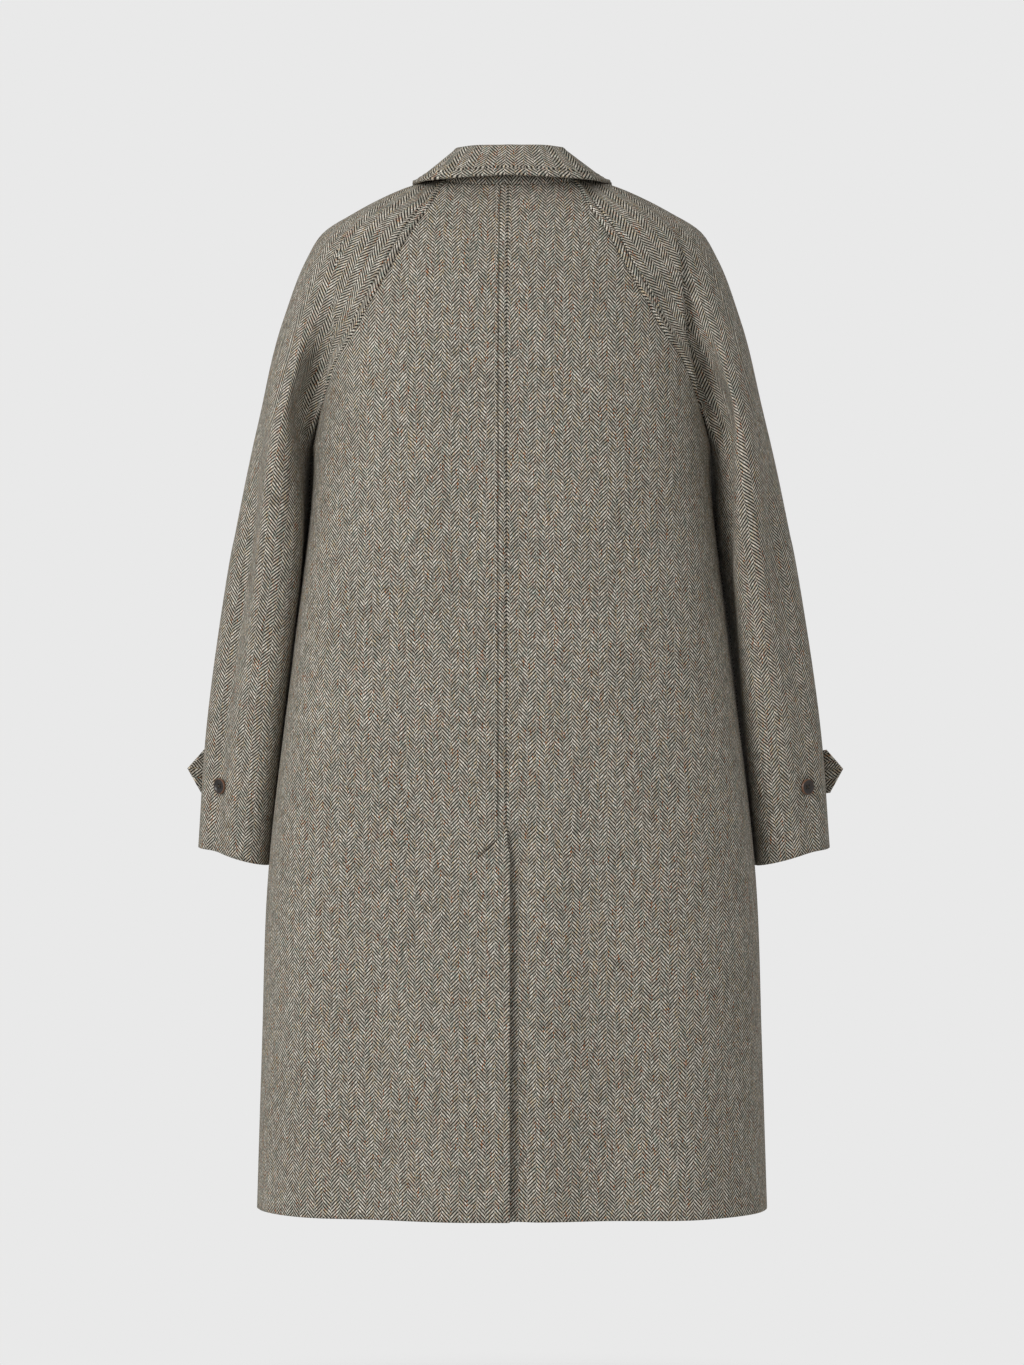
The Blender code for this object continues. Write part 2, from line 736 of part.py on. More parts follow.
def build_tabs(panels):
    """Straps across the front of each sleeve, with a free pointed end past its outer side."""
    path, along, rise, _ = tab_path()
    ends = [path[-1] + along[-1] * TAB_FREE * share for share in (0.5, 1.0)]
    path = np.concatenate([path, ends])
    rise = np.concatenate([rise, rise[-1:], rise[-1:]])
    grid = np.stack([path - rise * TAB_WIDTH / 2, path, path + rise * TAB_WIDTH / 2])
    grid[0, -1] -= along[-1] * TAB_POINT
    grid[2, -1] -= along[-1] * TAB_POINT
    for hand, side in ((-1, "left"), (1, "right")):
        panels["cuff_tab_" + side] = Panel(mirrored(grid, hand), -hand, TAB_CLOTH)


def add_button(name, seat, facing, radius):
    """Turned button with a rim and a dished middle, seated clear of the cloth."""
    facing = unit(np.asarray(facing, float))
    side = unit(np.cross(facing, [0.0, 0.0, 1.0]))
    top = np.cross(side, facing)
    profile = (
        # share of radius, height
        (0.0, LIE_GAP),
        (0.78, LIE_GAP),
        (1.0, LIE_GAP + BUTTON_THICK * 0.45),
        (0.93, BUTTON_THICK),
        (0.72, BUTTON_THICK * 0.92),
        (0.58, BUTTON_THICK * 0.66),
        (0.0, BUTTON_THICK * 0.60),
    )
    vertices = []
    faces = []
    turns = np.linspace(0.0, 2 * np.pi, BUTTON_SIDES, endpoint=False)
    for share, height in profile:
        if share == 0:
            vertices.append(seat + facing * height)
            continue
        for turn in turns:
            spoke = side * np.cos(turn) + top * np.sin(turn)
            vertices.append(seat + facing * height + spoke * radius * share)
    last = len(vertices) - 1
    loops = len(profile) - 2
    for k in range(BUTTON_SIDES):
        n = (k + 1) % BUTTON_SIDES
        faces.append([0, 1 + k, 1 + n])
        for loop in range(loops - 1):
            low = 1 + loop * BUTTON_SIDES
            high = low + BUTTON_SIDES
            faces.append([low + k, high + k, high + n])
            faces.append([low + k, high + n, low + n])
        faces.append([last, 1 + (loops - 1) * BUTTON_SIDES + n, 1 + (loops - 1) * BUTTON_SIDES + k])
    add_object(name, vertices, faces, HORN, HORN_ROUGHNESS)


def add_buttons(panels):
    """Bare buttons on the sleeve backs, one on each tab, and a row down the front."""
    ground, facing = ground_of([panels["sleeve_back_right"]])
    aside = np.hypot(ground[:, 0] - CUFF_BUTTON_X, ground[:, 2] - CUFF_BUTTON_HEIGHT)
    place = np.argmin(np.where(facing[:, 1] < 0, aside, np.inf))
    cuff_seat = (ground[place] + facing[place] * CUFF_BUTTON_LIFT, facing[place])
    path, _, _, out = tab_path()
    tab_seat = (path[-1], out[-1])
    for hand, side in ((-1, "left"), (1, "right")):
        for name, (seat, facing) in (("cuff_button_", cuff_seat), ("tab_button_", tab_seat)):
            add_button(name + side, mirrored(seat, hand), mirrored(facing, hand), SMALL_BUTTON)
    for number in range(FRONT_BUTTONS):
        height = FRONT_BUTTON_TOP - FRONT_BUTTON_STEP * number
        depth = surface_depth(0.0, height + np.array([-SEAT_STEP, 0.0, SEAT_STEP]), False)
        facing = (0.0, 2 * SEAT_STEP, depth[0] - depth[2])
        add_button("front_button_%d" % (number + 1), np.array([0.0, depth[1], height]), facing, COAT_BUTTON)


def main():
    for thing in list(bpy.data.objects):
        bpy.data.objects.remove(thing, do_unlink=True)
    panels = {}
    build_backs(panels)
    build_fronts(panels)
    build_sleeves(panels)
    build_collar(panels)
    build_tabs(panels)
    sew(panels)
    for name, panel in panels.items():
        add_panel(name, panel)
    add_buttons(panels)
    pieces = list(bpy.data.objects)
    coat = bpy.data.objects.new("raglan_overcoat", None)
    bpy.context.scene.collection.objects.link(coat)
    for piece in pieces:
        piece.parent = coat


main()
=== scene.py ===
"""Raglan overcoat in herringbone tweed, filled out as worn and seen from the back.

Every panel is a thin shell over the form of its solid, with its seams, topstitching, listed creases and
a weave map in metres of cloth. The back faces -Y, the wearer's right side is +X and +Z is up.
"""

import bpy
import numpy as np
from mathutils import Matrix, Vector
from mathutils.kdtree import KDTree


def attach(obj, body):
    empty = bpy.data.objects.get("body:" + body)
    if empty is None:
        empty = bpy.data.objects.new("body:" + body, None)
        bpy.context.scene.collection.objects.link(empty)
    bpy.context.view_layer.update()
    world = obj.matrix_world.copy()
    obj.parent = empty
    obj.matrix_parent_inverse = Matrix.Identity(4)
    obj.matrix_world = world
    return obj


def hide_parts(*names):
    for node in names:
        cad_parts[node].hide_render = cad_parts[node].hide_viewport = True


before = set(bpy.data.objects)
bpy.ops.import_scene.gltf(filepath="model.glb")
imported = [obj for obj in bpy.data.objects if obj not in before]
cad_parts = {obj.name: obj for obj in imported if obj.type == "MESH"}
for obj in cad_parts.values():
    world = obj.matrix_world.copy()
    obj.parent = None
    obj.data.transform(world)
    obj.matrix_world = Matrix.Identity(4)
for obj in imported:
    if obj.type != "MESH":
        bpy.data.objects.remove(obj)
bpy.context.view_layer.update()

# Cloth and its laps, in metres
CLOTH = 0.0024
COLLAR_CLOTH = 0.0030
TAB_CLOTH = 0.0028
SEAM_GAP = 0.00004
LIE_GAP = 0.0003
FACING_GAP = 0.0008
SEAM_DIGITS = 6
HEM = -1.075
VENT_TOP = -0.675
VENT_UNDERLAP = 0.050
VENT_EDGE = 0.003
VENT_EDGE_LEAST = 1e-5
VENT_OPENS_OVER = 0.030
VENT_LIFT = 0.0030
VENT_LIFT_OVER = 0.060
VENT_LIFT_REACH = 0.034
VENT_SINK = 1.6
VENT_SINK_FROM = 0.010
VENT_SINK_OVER = 0.020
VENT_EDGE_COLUMNS = 3
UNDERLAP_BELOW = 0.004
CENTRE_JOINS_OVER = 0.008
FRONT_LAP = 0.036
LAP_SINK = 0.0045
LAP_LEVEL = 0.006
LAP_EASE = 0.026
LAP_EASE_SHORT = 0.009
LAP_DROP = 0.005
LAP_DROP_OVER = 0.040
FRONT_NECK = -0.075
NECK_SCOOP = 1.8
BACK_NECK_DIP = 0.006
BACK_NECK_EASE = 3
SIDE_SEAM_TURN = np.radians(6.0)
SIDE_SEAM_EASE = 0.15
FLARE_FADE = 0.026
FLARE_FADE_ABOVE = 0.040
FLARE_NARROWNESS = 12
FOLD_DOWN = np.array([0.0, 0.0, -1.0])
UP = np.array([0.0, 0.0, 1.0])
HANDS = ((-1, "left"), (1, "right"))

# Body sections: half width, depth of back and front from the mid plane, squareness
TORSO = (
    # height, half_width, back_depth, front_depth, back_squareness, front_squareness
    (-1.075, 0.2700, 0.152, 0.152, 2.45, 2.3),
    (-0.900, 0.2645, 0.149, 0.149, 2.50, 2.3),
    (-0.740, 0.2590, 0.146, 0.146, 2.60, 2.3),
    (-0.490, 0.2310, 0.141, 0.140, 2.70, 2.2),
    (-0.280, 0.2060, 0.138, 0.131, 2.70, 2.2),
    (-0.226, 0.2010, 0.137, 0.122, 2.70, 2.2),
    (-0.150, 0.2030, 0.132, 0.099, 2.50, 2.2),
    (-0.090, 0.2060, 0.122, 0.066, 2.20, 2.2),
    (-0.040, 0.1850, 0.103, 0.043, 2.10, 2.1),
    (0.014, 0.0880, 0.073, 0.024, 2.00, 2.0),
)

# Raglan seams: angle round the body from centre back, or from centre front
RAGLAN_BACK = (
    # height, angle_degrees
    (0.005, 39.5),
    (-0.041, 29.6),
    (-0.079, 33.4),
    (-0.140, 44.4),
    (-0.186, 61.4),
    (-0.228, 76.0),
)
RAGLAN_FRONT = (
    # height, angle_degrees
    (-0.008, 31.5),
    (-0.046, 26.5),
    (-0.090, 30.1),
    (-0.140, 38.0),
    (-0.188, 50.0),
    (-0.230, 69.0),
)

# Overarm line, from the neck over the shoulder to the cuff
OVERARM = (
    # x, y, z
    (0.0740, -0.006, 0.013),
    (0.1140, -0.003, 0.0005),
    (0.1670, 0.000, -0.0245),
    (0.2030, 0.003, -0.0480),
    (0.2180, 0.005, -0.073),
    (0.2415, 0.008, -0.136),
    (0.2645, 0.012, -0.231),
    (0.2990, 0.020, -0.391),
    (0.3286, 0.034, -0.581),
    (0.3370, 0.043, -0.690),
)
CAP_SHARE = 0.462
CUFF_DROP = 0.006
CUFF_DROP_FROM = 0.87

# Sleeve head between a raglan seam and the overarm line: place across from the seam, and depth
HEAD_BACK = (
    # along, hollow_at, hollow_depth, full_at, full_depth, turn_at, turn_depth
    (0.00, 0.45, 0.039, 0.90, 0.022, 1.05, 0.010),
    (0.25, 0.36, 0.090, 0.73, 0.070, 0.955, 0.036),
    (0.45, 0.30, 0.090, 0.65, 0.078, 0.92, 0.046),
    (0.62, 0.24, 0.072, 0.56, 0.080, 0.93, 0.047),
    (0.75, 0.20, 0.056, 0.52, 0.089, 0.91, 0.059),
    (0.88, 0.19, 0.058, 0.52, 0.096, 0.89, 0.068),
    (1.00, 0.150, 0.073, 0.50, 0.098, 0.875, 0.073),
)
HEAD_FRONT = (
    # along, hollow_at, hollow_depth, full_at, full_depth, turn_at, turn_depth
    (0.00, 0.45, 0.026, 0.90, 0.014, 1.05, 0.006),
    (0.25, 0.36, 0.047, 0.73, 0.036, 0.955, 0.018),
    (0.45, 0.30, 0.066, 0.65, 0.056, 0.92, 0.033),
    (0.62, 0.24, 0.063, 0.56, 0.065, 0.93, 0.041),
    (0.75, 0.20, 0.049, 0.52, 0.073, 0.91, 0.049),
    (0.88, 0.16, 0.048, 0.52, 0.079, 0.89, 0.057),
    (1.00, 0.080, 0.062, 0.50, 0.083, 0.875, 0.062),
)

# Sleeve below the underarm: width across, depth to back and front, fall of the ring to its inner side
SLEEVE_TUBE = (
    # along, width, back_depth, front_depth, tilt_degrees, front_corner_at
    (0.00, 0.0620, 0.098, 0.083, 8.0, 0.080),
    (0.06, 0.0640, 0.096, 0.083, 8.0, 0.020),
    (0.16, 0.0727, 0.093, 0.082, 8.0, -0.020),
    (0.45, 0.0810, 0.078, 0.075, 9.0, -0.020),
    (0.75, 0.0860, 0.065, 0.065, 11.0, -0.020),
    (1.00, 0.0840, 0.057, 0.057, 13.0, -0.020),
)
INNER_SEAM_EASE = 0.35
BACK_CORNER_AT = 0.125
OUTER_CORNER_AT = 0.875
TUBE_CORNER_DEPTH = 0.75

# Soft flutes of the skirt: place across at the hem, half width, rise (+) or hollow (-), top height
FLUTES_BACK = (
    # x, half_width, rise, top
    (-0.215, 0.050, 0.005, -0.50),
    (-0.140, 0.055, -0.007, -0.55),
    (-0.045, 0.060, 0.006, -0.60),
    (0.105, 0.065, -0.011, -0.52),
    (0.195, 0.050, 0.006, -0.58),
)
FLUTES_FRONT = (
    # x, half_width, rise, top
    (-0.190, 0.060, 0.007, -0.50),
    (-0.105, 0.055, -0.008, -0.45),
    (0.115, 0.060, -0.007, -0.55),
    (0.200, 0.055, 0.006, -0.48),
)
FLUTE_SHARPNESS = 2

# Collar, by share of the neckline from centre back to centre front
COLLAR = (
    # along, stand, lean, edge_out, edge_up, edge_back
    (0.00, 0.0350, 0.0040, 0.026, 0.009, 0.000),
    (0.16, 0.0335, 0.0100, 0.026, 0.005, 0.000),
    (0.28, 0.0275, 0.0175, 0.027, -0.001, 0.000),
    (0.40, 0.0205, 0.0240, 0.029, -0.007, 0.000),
    (0.50, 0.0165, 0.0230, 0.030, -0.011, 0.000),
    (0.62, 0.0140, 0.0150, 0.032, -0.019, 0.000),
    (0.80, 0.0125, 0.0030, 0.031, -0.044, 0.006),
    (1.00, 0.0120, 0.0000, 0.031, -0.046, 0.052),
)
ROLL_RADIUS = 0.0064
ROLL_END = np.radians(30.0)
LEAF_CROWN = 0.001
LEAF_LIFT = 0.0007
LEAF_PASSES = 3
COLLAR_END_GAP = 0.003
STAND_LEAN = 0.8
NECK_SMOOTHING = 60

# Cuff tab: place along the sleeve, width, free point, and the named places it crosses
TAB_ALONG = 0.829
TAB_WIDTH = 0.045
TAB_POINT = 0.016
TAB_FREE = 0.034
TAB_STITCH_AT = 0.0052
TAB_PINCH = 0.0009
TAB_OPEN_COLUMNS = 20
TAB_PINCH_OVER = 0.008
TAB_TURN = np.radians(30.0)
TAB_TURN_FROM = 0.006
TAB_TURN_OVER = 0.020
TAB_OPEN_FLATTER = 0.45
TAB_LIFT = 0.0003
TAB_FROM = 3.125
TAB_TO = 1.0
TAB_CLIMB = 0.02
TAB_COLUMNS = 60
TAB_FREE_COLUMNS = 24
TAB_EDGE = np.array([0.0, 0.8, 1.6, 2.6, 3.8, 4.6, 5.2, 5.8, 6.6, 8.0, 10.0]) / 1000
TAB_MIDDLE_FROM = 0.0125
TAB_MIDDLE = 9

# Seams and topstitching
DITCH = 0.0014
CENTRE_DITCH = 0.0006
DITCH_WIDTH = 0.0013
WELT = 0.0015
WELT_START = 0.002
EDGE_WELT = 0.6
STITCH_AT = 0.0088
STITCH_FADE = 0.0050
STITCH_DIP = 0.0026
STITCH_WIDTH = 0.0010
STITCH_PITCH = 0.0042
STITCH_LENGTH = 0.0031
STITCH_RADIUS = 0.00034
BAR_DIP = 0.0018
BAR_WIDTH = 0.0016
BAR_PITCH = 0.0024
BAR_LENGTH = 0.0030
BAR_RADIUS = 0.00055
BAR_STEPS = 24
BAR_NEIGHBOURS = 4
COLLAR_STRIP = 1.25
COLLAR_STRIP_FADE = 0.02
COLLAR_STITCH_ENDS = 3
CENTRE_STITCH_PAST = 0.006
TAB_STITCH_FROM = 2
TAB_STITCH_STOPS = 9
TAB_STITCH_TIP = 1.25
WELT_FROM = -0.172
WELT_EASE = 0.02
VENT_BAR = ((-0.0106, -0.683), (-0.0329, -0.704))

# Grid spacing: places beside an edge, and counts between
EDGE = np.array([0, .7, 1.4, 2.2, 3.2, 4.6, 6.2, 7.6, 8.3, 9.0, 9.7, 10.4, 11.6, 13.4, 16.2, 20.0]) / 1000
CENTRE_EDGE = np.concatenate([EDGE[:12], np.arange(11.4, 36.0, 1.15) / 1000])
LAP_COLUMNS = 14
PANEL_LINES = 7
RIM_TURN = np.array([0.3, 0.6])
RIM_ROUND = 0.32
EDGE_SHARE = 0.42
ROW = 0.006
FINE_ROW = 0.00125
FINE_ROWS = (-0.712, -0.668)
UNDERARM_ROWS = np.array([30, 24, 19, 14, 10, 6, 3, 0]) / 1000
ROW_SWEEP = 1.3
PROFILE_ENDS = (HEM - 0.02, 0.03)
PROFILE_STEPS = 300
HEAD_ROWS = 62
TUBE_ROWS = 74
BACK_MIDDLE = 38
FRONT_MIDDLE = 38
SLEEVE_MIDDLE = 46
COLLAR_COLUMNS = 260
STAND_ROWS = 10
ROLL_ROWS = 9
LEAF_PLACES = np.concatenate([np.linspace(0.0, 0.66, 11)[1:-1], np.linspace(0.66, 1.0, 20)])
FINE = 200


def spline(knots, values):
    """Smooth curve through rows of values, read at any knot value."""
    knots = np.asarray(knots, float)
    values = np.asarray(values, float)
    slopes = np.gradient(values, knots, axis=0)

    def at(place):
        place = np.clip(np.asarray(place, float), knots[0], knots[-1])
        i = np.clip(np.searchsorted(knots, place, side="right") - 1, 0, len(knots) - 2)
        step = (knots[i + 1] - knots[i])[..., None]
        t = (place - knots[i])[..., None] / step
        start = values[i] * (1 + 2 * t) * (1 - t) ** 2 + slopes[i] * step * t * (1 - t) ** 2
        end = values[i + 1] * t * t * (3 - 2 * t) + slopes[i + 1] * step * t * t * (t - 1)
        return start + end

    return at


def table(rows):
    """A table's other columns as smooth functions of its first column."""
    rows = np.asarray(rows, float)
    return spline(rows[:, 0], rows[:, 1:])


def lengths(line):
    """Run along a line from its start to each of its points."""
    steps = np.linalg.norm(np.diff(line, axis=0), axis=1)
    return np.concatenate([[0.0], np.cumsum(steps)])


def placed(line, run, places):
    """Values of a line at places along its run."""
    return np.stack([np.interp(places, run, line[:, k]) for k in range(line.shape[1])], axis=-1)


def run_over(grid, axis):
    """Distance over a grid of points from its first row or column."""
    steps = np.linalg.norm(np.diff(grid, axis=axis), axis=2)
    start = np.zeros_like(np.take(steps, [0], axis=axis))
    return np.concatenate([start, np.cumsum(steps, axis=axis)], axis=axis)


def spaced(line, shares):
    """Points of a line at shares of its length."""
    run = lengths(line)
    return placed(line, run, np.asarray(shares) * run[-1])


def through(points):
    """Fine polyline of the smooth curve through a few points."""
    points = np.asarray(points, float)
    run = lengths(points)
    return spline(run, points)(np.linspace(0.0, run[-1], FINE))


def unit(vectors):
    """Vectors brought to a length of 1."""
    size = np.linalg.norm(vectors, axis=-1, keepdims=True)
    return vectors / np.maximum(size, 1e-12)


def smoothed(row):
    """A row whose inner points are each averaged with their neighbours."""
    row = row.copy()
    row[1:-1] = (row[:-2] + 2 * row[1:-1] + row[2:]) / 4
    return row


def directions(line):
    """Steady directions along a line."""
    ways = unit(np.gradient(line, axis=0))
    for _ in range(GRAIN_SMOOTHING):
        ways = unit(smoothed(ways))
    return ways


def hump(x, at, half, sharpness=1.0):
    """Smooth hump, 1 high at a place and fading on both sides."""
    return np.exp(-((x - at) / half) ** 2 * sharpness)


def ease(t):
    """Smooth step from 0 to 1."""
    t = np.clip(t, 0.0, 1.0)
    return t * t * (3 - 2 * t)


torso = table(TORSO)
overarm = through(OVERARM)
cap_line = spaced(overarm, np.linspace(0.0, CAP_SHARE, FINE))
arm_line = spaced(overarm, np.linspace(CAP_SHARE, 1.0, FINE))
head_back = table(HEAD_BACK)
head_front = table(HEAD_FRONT)
sleeve_tube = table(SLEEVE_TUBE)
collar_row = table(COLLAR)


def underarm():
    """Point where body and sleeve seams meet."""
    width, _, _, tilt, _ = sleeve_tube(0.0)
    tilt = np.radians(tilt)
    crest = cap_line[-1]
    return crest - np.array([width * np.cos(tilt), crest[1], width * np.sin(tilt)])


UNDERARM = underarm()
UNDERARM_FLARE = UNDERARM[0] - torso(UNDERARM[2])[0]


def flutes(x, height, rows):
    """Sum of the skirt's soft flutes."""
    total = np.zeros(np.broadcast(x, height).shape)
    for place, half, rise, top in rows:
        grow = ease((top - height) / (top - HEM))
        total = total + rise * grow * hump(x, place, half, FLUTE_SHARPNESS)
    return total


def surface_depth(x, height, at_back):
    """Depth of the body's outer surface at a place across and a height."""
    width, back, front, back_power, front_power = np.moveaxis(torso(height), -1, 0)
    power = np.where(at_back, back_power, front_power)
    share = np.clip(np.abs(x) / width, 0.0, 1.0)
    reach = (1 - share ** power) ** (1 / power)
    if at_back:
        return -back * reach - flutes(x, height, FLUTES_BACK)
    return front * reach + flutes(x, height, FLUTES_FRONT)


def body_point(angle, height, hand):
    """Outer point of the body; angle runs from centre back (0) round the hand's side to centre front."""
    angle, height = np.broadcast_arrays(np.asarray(angle, float), np.asarray(height, float))
    width, back, front, back_power, front_power = np.moveaxis(torso(height), -1, 0)
    at_back = np.cos(angle) > 0
    power = np.where(at_back, back_power, front_power)
    depth = np.where(at_back, -back, front)
    across = np.sin(np.clip(angle, 0.0, np.pi))
    x = width * across ** (2 / power)
    y = depth * np.abs(np.cos(angle)) ** (2 / power)
    below = UNDERARM[2] - height
    flare = UNDERARM_FLARE * np.exp(-np.maximum(below / FLARE_FADE, -below / FLARE_FADE_ABOVE))
    folds = np.where(at_back, -flutes(hand * x, height, FLUTES_BACK), flutes(hand * x, height, FLUTES_FRONT))
    x = x + flare * across ** FLARE_NARROWNESS
    return np.stack([hand * x, y + folds, height], axis=-1)


def seam_curve(rows, from_front):
    """Heights and angles of a raglan seam, by share of its length from the neck to the underarm."""
    rows = list(rows) + [(UNDERARM[2], 90.0)]
    line = through([(height, np.radians(angle), 0.0) for height, angle in rows])
    angle = np.pi - line[:, 1] if from_front else line[:, 1]
    run = lengths(body_point(angle, line[:, 0], 1))
    share = run / run[-1]

    def at(place):
        return np.interp(place, share, line[:, 0]), np.interp(place, share, angle)

    return at


raglan_back = seam_curve(RAGLAN_BACK, False)
raglan_front = seam_curve(RAGLAN_FRONT, True)


def body_heights():
    """Rows of the body below the underarm, from the hem up, close together beside the vent's top."""
    low, high = FINE_ROWS
    close = UNDERARM[2] - UNDERARM_ROWS
    parts = [
        np.linspace(HEM, low, int((low - HEM) / ROW) + 1)[:-1],
        np.linspace(low, high, int((high - low) / FINE_ROW) + 1)[:-1],
        np.linspace(high, close[0], int((close[0] - high) / ROW) + 1)[:-1],
        close,
    ]
    return np.concatenate(parts)


def head_shares():
    """Rows of the sleeve head from the underarm to the neck, closer together at both ends."""
    even = np.linspace(0.0, 1.0, HEAD_ROWS + 1)[1:]
    crowded = (1 - np.cos(np.pi * even)) / 2
    return 1 - (even + crowded) / 2


HEIGHTS = body_heights()
HEAD_SHARES = head_shares()


def side_angle(height):
    """Side seam, a little in front of the silhouette below the underarm."""
    return np.pi / 2 + SIDE_SEAM_TURN * ease((UNDERARM[2] - height) / SIDE_SEAM_EASE)


def back_lines(hand):
    """Rows of the back from hem to neck, each from centre back to the side or raglan seam."""
    sweep = np.linspace(0.0, 1.0, FINE) ** ROW_SWEEP
    lines = [body_point(sweep * side_angle(z), z, hand) for z in HEIGHTS]
    for share in HEAD_SHARES:
        height, angle = raglan_back(share)
        dip = BACK_NECK_DIP * (1 - share) ** BACK_NECK_EASE * (1 - sweep ** 2)
        lines.append(body_point(sweep * angle, height - dip, hand))
    return lines


def front_lines(hand):
    """Rows of the front from hem to neck, each from the side or raglan seam to centre front."""
    sweep = 1 - np.linspace(1.0, 0.0, FINE) ** ROW_SWEEP
    lines = []
    for z in HEIGHTS:
        start = side_angle(z)
        lines.append(body_point(start + (np.pi - start) * sweep, z, hand))
    for share in HEAD_SHARES:
        height, angle = raglan_front(share)
        centre = UNDERARM[2] + (FRONT_NECK - UNDERARM[2]) * (1 - share)
        heights = centre + (height - centre) * (1 - sweep) ** NECK_SCOOP
        lines.append(body_point(angle + (np.pi - angle) * sweep, heights, hand))
    return lines


def station(crest, back_seam, front_seam, shape_back, shape_front):
    """Sleeve ring from the back seam over the overarm line to the front seam, and its named places."""
    halves = []
    for seam, shape, side in ((back_seam, shape_back, -1), (front_seam, shape_front, 1)):
        points = [seam]
        for at, depth in shape:
            point = seam + (crest - seam) * at
            point[1] = crest[1] + side * depth
            points.append(point)
        halves.append(points)
    ring = np.array(halves[0] + [crest] + halves[1][::-1])
    run = lengths(ring)
    middle = len(halves[0])
    return spline(run, ring), run[:middle + 1], run[middle:]


def sleeve_ring(along):
    """Closed ring of the sleeve below the underarm, as its back and front halves."""
    width, back_depth, front_depth, tilt, front_corner = sleeve_tube(along)
    tilt = np.radians(tilt)
    crest = spaced(arm_line, [along])[0]
    turn_in = crest[1] * (1 - ease(along / INNER_SEAM_EASE))
    inner = crest - np.array([width * np.cos(tilt), turn_in, width * np.sin(tilt)])
    shapes = []
    for depth, inner_at in ((back_depth, BACK_CORNER_AT), (front_depth, front_corner)):
        corner = depth * TUBE_CORNER_DEPTH
        shapes.append(((inner_at, corner), (0.5, depth), (OUTER_CORNER_AT, corner)))
    return station(crest, inner, inner, *shapes)


def head_ring(share):
    """Open ring of the sleeve head, from the back raglan seam to the front one."""
    crest = spaced(cap_line, [share])[0]
    back_height, back_angle = raglan_back(share)
    front_height, front_angle = raglan_front(share)
    back_seam = body_point(back_angle, back_height, 1)
    front_seam = body_point(front_angle, front_height, 1)
    shapes = (head_back(share).reshape(3, 2), head_front(share).reshape(3, 2))
    return station(crest, back_seam, front_seam, *shapes)


def sleeve_lines():
    """Rows of both halves of the right sleeve from the cuff up to the neck, and each row's run along the
    overarm line from the neck."""
    cap_run = lengths(cap_line)[-1]
    arm_run = lengths(arm_line)[-1]
    alongs = np.linspace(1.0, 0.0, TUBE_ROWS + 1)
    rings = [sleeve_ring(along) for along in alongs] + [head_ring(share) for share in HEAD_SHARES]
    runs = np.concatenate([cap_run + arm_run * alongs, cap_run * HEAD_SHARES])
    halves = []
    for half in (1, 2):
        halves.append([ring[0](np.linspace(ring[half][0], ring[half][-1], FINE)) for ring in rings])
    return halves, runs


def mirrored(points, hand):
    """Points of the right side, for a hand of either side."""
    return points * np.array([hand, 1.0, 1.0])


def grid_normals(points, sign):
    """Directions out of a grid of points."""
    across = np.gradient(points, axis=1)
    up = np.gradient(points, axis=0)
    return unit(np.cross(across, up)) * sign


def graded(length, low, high, middle):
    """Places across a row: close together beside both edges and even between them."""
    low = low * min(1.0, EDGE_SHARE * length / low[-1])
    high = high * min(1.0, EDGE_SHARE * length / high[-1])
    even = np.linspace(low[-1], length - high[-1], middle + 2)[1:-1]
    return np.concatenate([low, even, length - high[::-1]])


def profile_run(at_back):
    """Length of cloth up the centre line as a function of height."""
    heights = np.linspace(*PROFILE_ENDS, PROFILE_STEPS)
    depth = surface_depth(np.zeros(PROFILE_STEPS), heights, at_back)
    run = lengths(np.stack([depth, heights], axis=1))
    return lambda z: np.interp(z, heights, run)


def shifted(grid, di, dj):
    """A grid moved by one row or column, with the border left empty."""
    out = np.zeros_like(grid)
    rows, columns = grid.shape[:2]
    target = (slice(max(0, -di), rows - max(0, di)), slice(max(0, -dj), columns - max(0, dj)))
    source = (slice(max(0, di), rows - max(0, -di)), slice(max(0, dj), columns - max(0, -dj)))
    out[target] = grid[source]
    return out


class Panel:
    """A piece of cloth: a grid of outer points with its weave places, wall and outward side.

    Relief moves the cloth; what is worked, seams and stitching, shapes its outer face alone."""

    def __init__(self, points, weave, sign, wall=CLOTH, cells=None):
        self.points = np.array(points, float)
        self.weave = np.array(weave, float)
        self.normals = grid_normals(self.points, sign)
        self.wall = wall
        rows, columns = self.points.shape[:2]
        self.cells = np.ones((rows - 1, columns - 1), bool) if cells is None else cells
        self.used = np.zeros((rows, columns), bool)
        for i, j in np.ndindex(2, 2):
            self.used[i:rows - 1 + i, j:columns - 1 + j] |= self.cells
        self.relief = np.zeros((rows, columns))
        self.worked = np.zeros((rows, columns))
        self.sewn = np.zeros((rows, columns), bool)
        self.across()

    def across(self):
        """Distances over the cloth from the first and last columns, and from the lowest and top rows."""
        run = run_over(self.points, 1)
        self.from_first = run
        self.from_last = run[:, -1:] - run
        rise = run_over(self.points, 0)
        self.from_low = rise
        self.from_top = rise[-1:] - rise

    def outer(self):
        """Points of the face that shows."""
        return self.points + self.normals * (self.relief + self.worked)[:, :, None]

    def inner(self):
        """Points of the face towards the wearer."""
        return self.points + self.normals * (self.relief - self.wall)[:, :, None]

    def inward(self):
        """Direction from each border point into the panel."""
        pull = np.zeros_like(self.points)
        for di, dj in ((1, 0), (-1, 0), (0, 1), (0, -1)):
            ahead = shifted(self.used, di, dj)
            behind = shifted(self.used, -di, -dj)
            border = self.used & ahead & ~behind
            step = unit(shifted(self.points, di, dj) - self.points)
            pull[border] += step[border]
        return pull


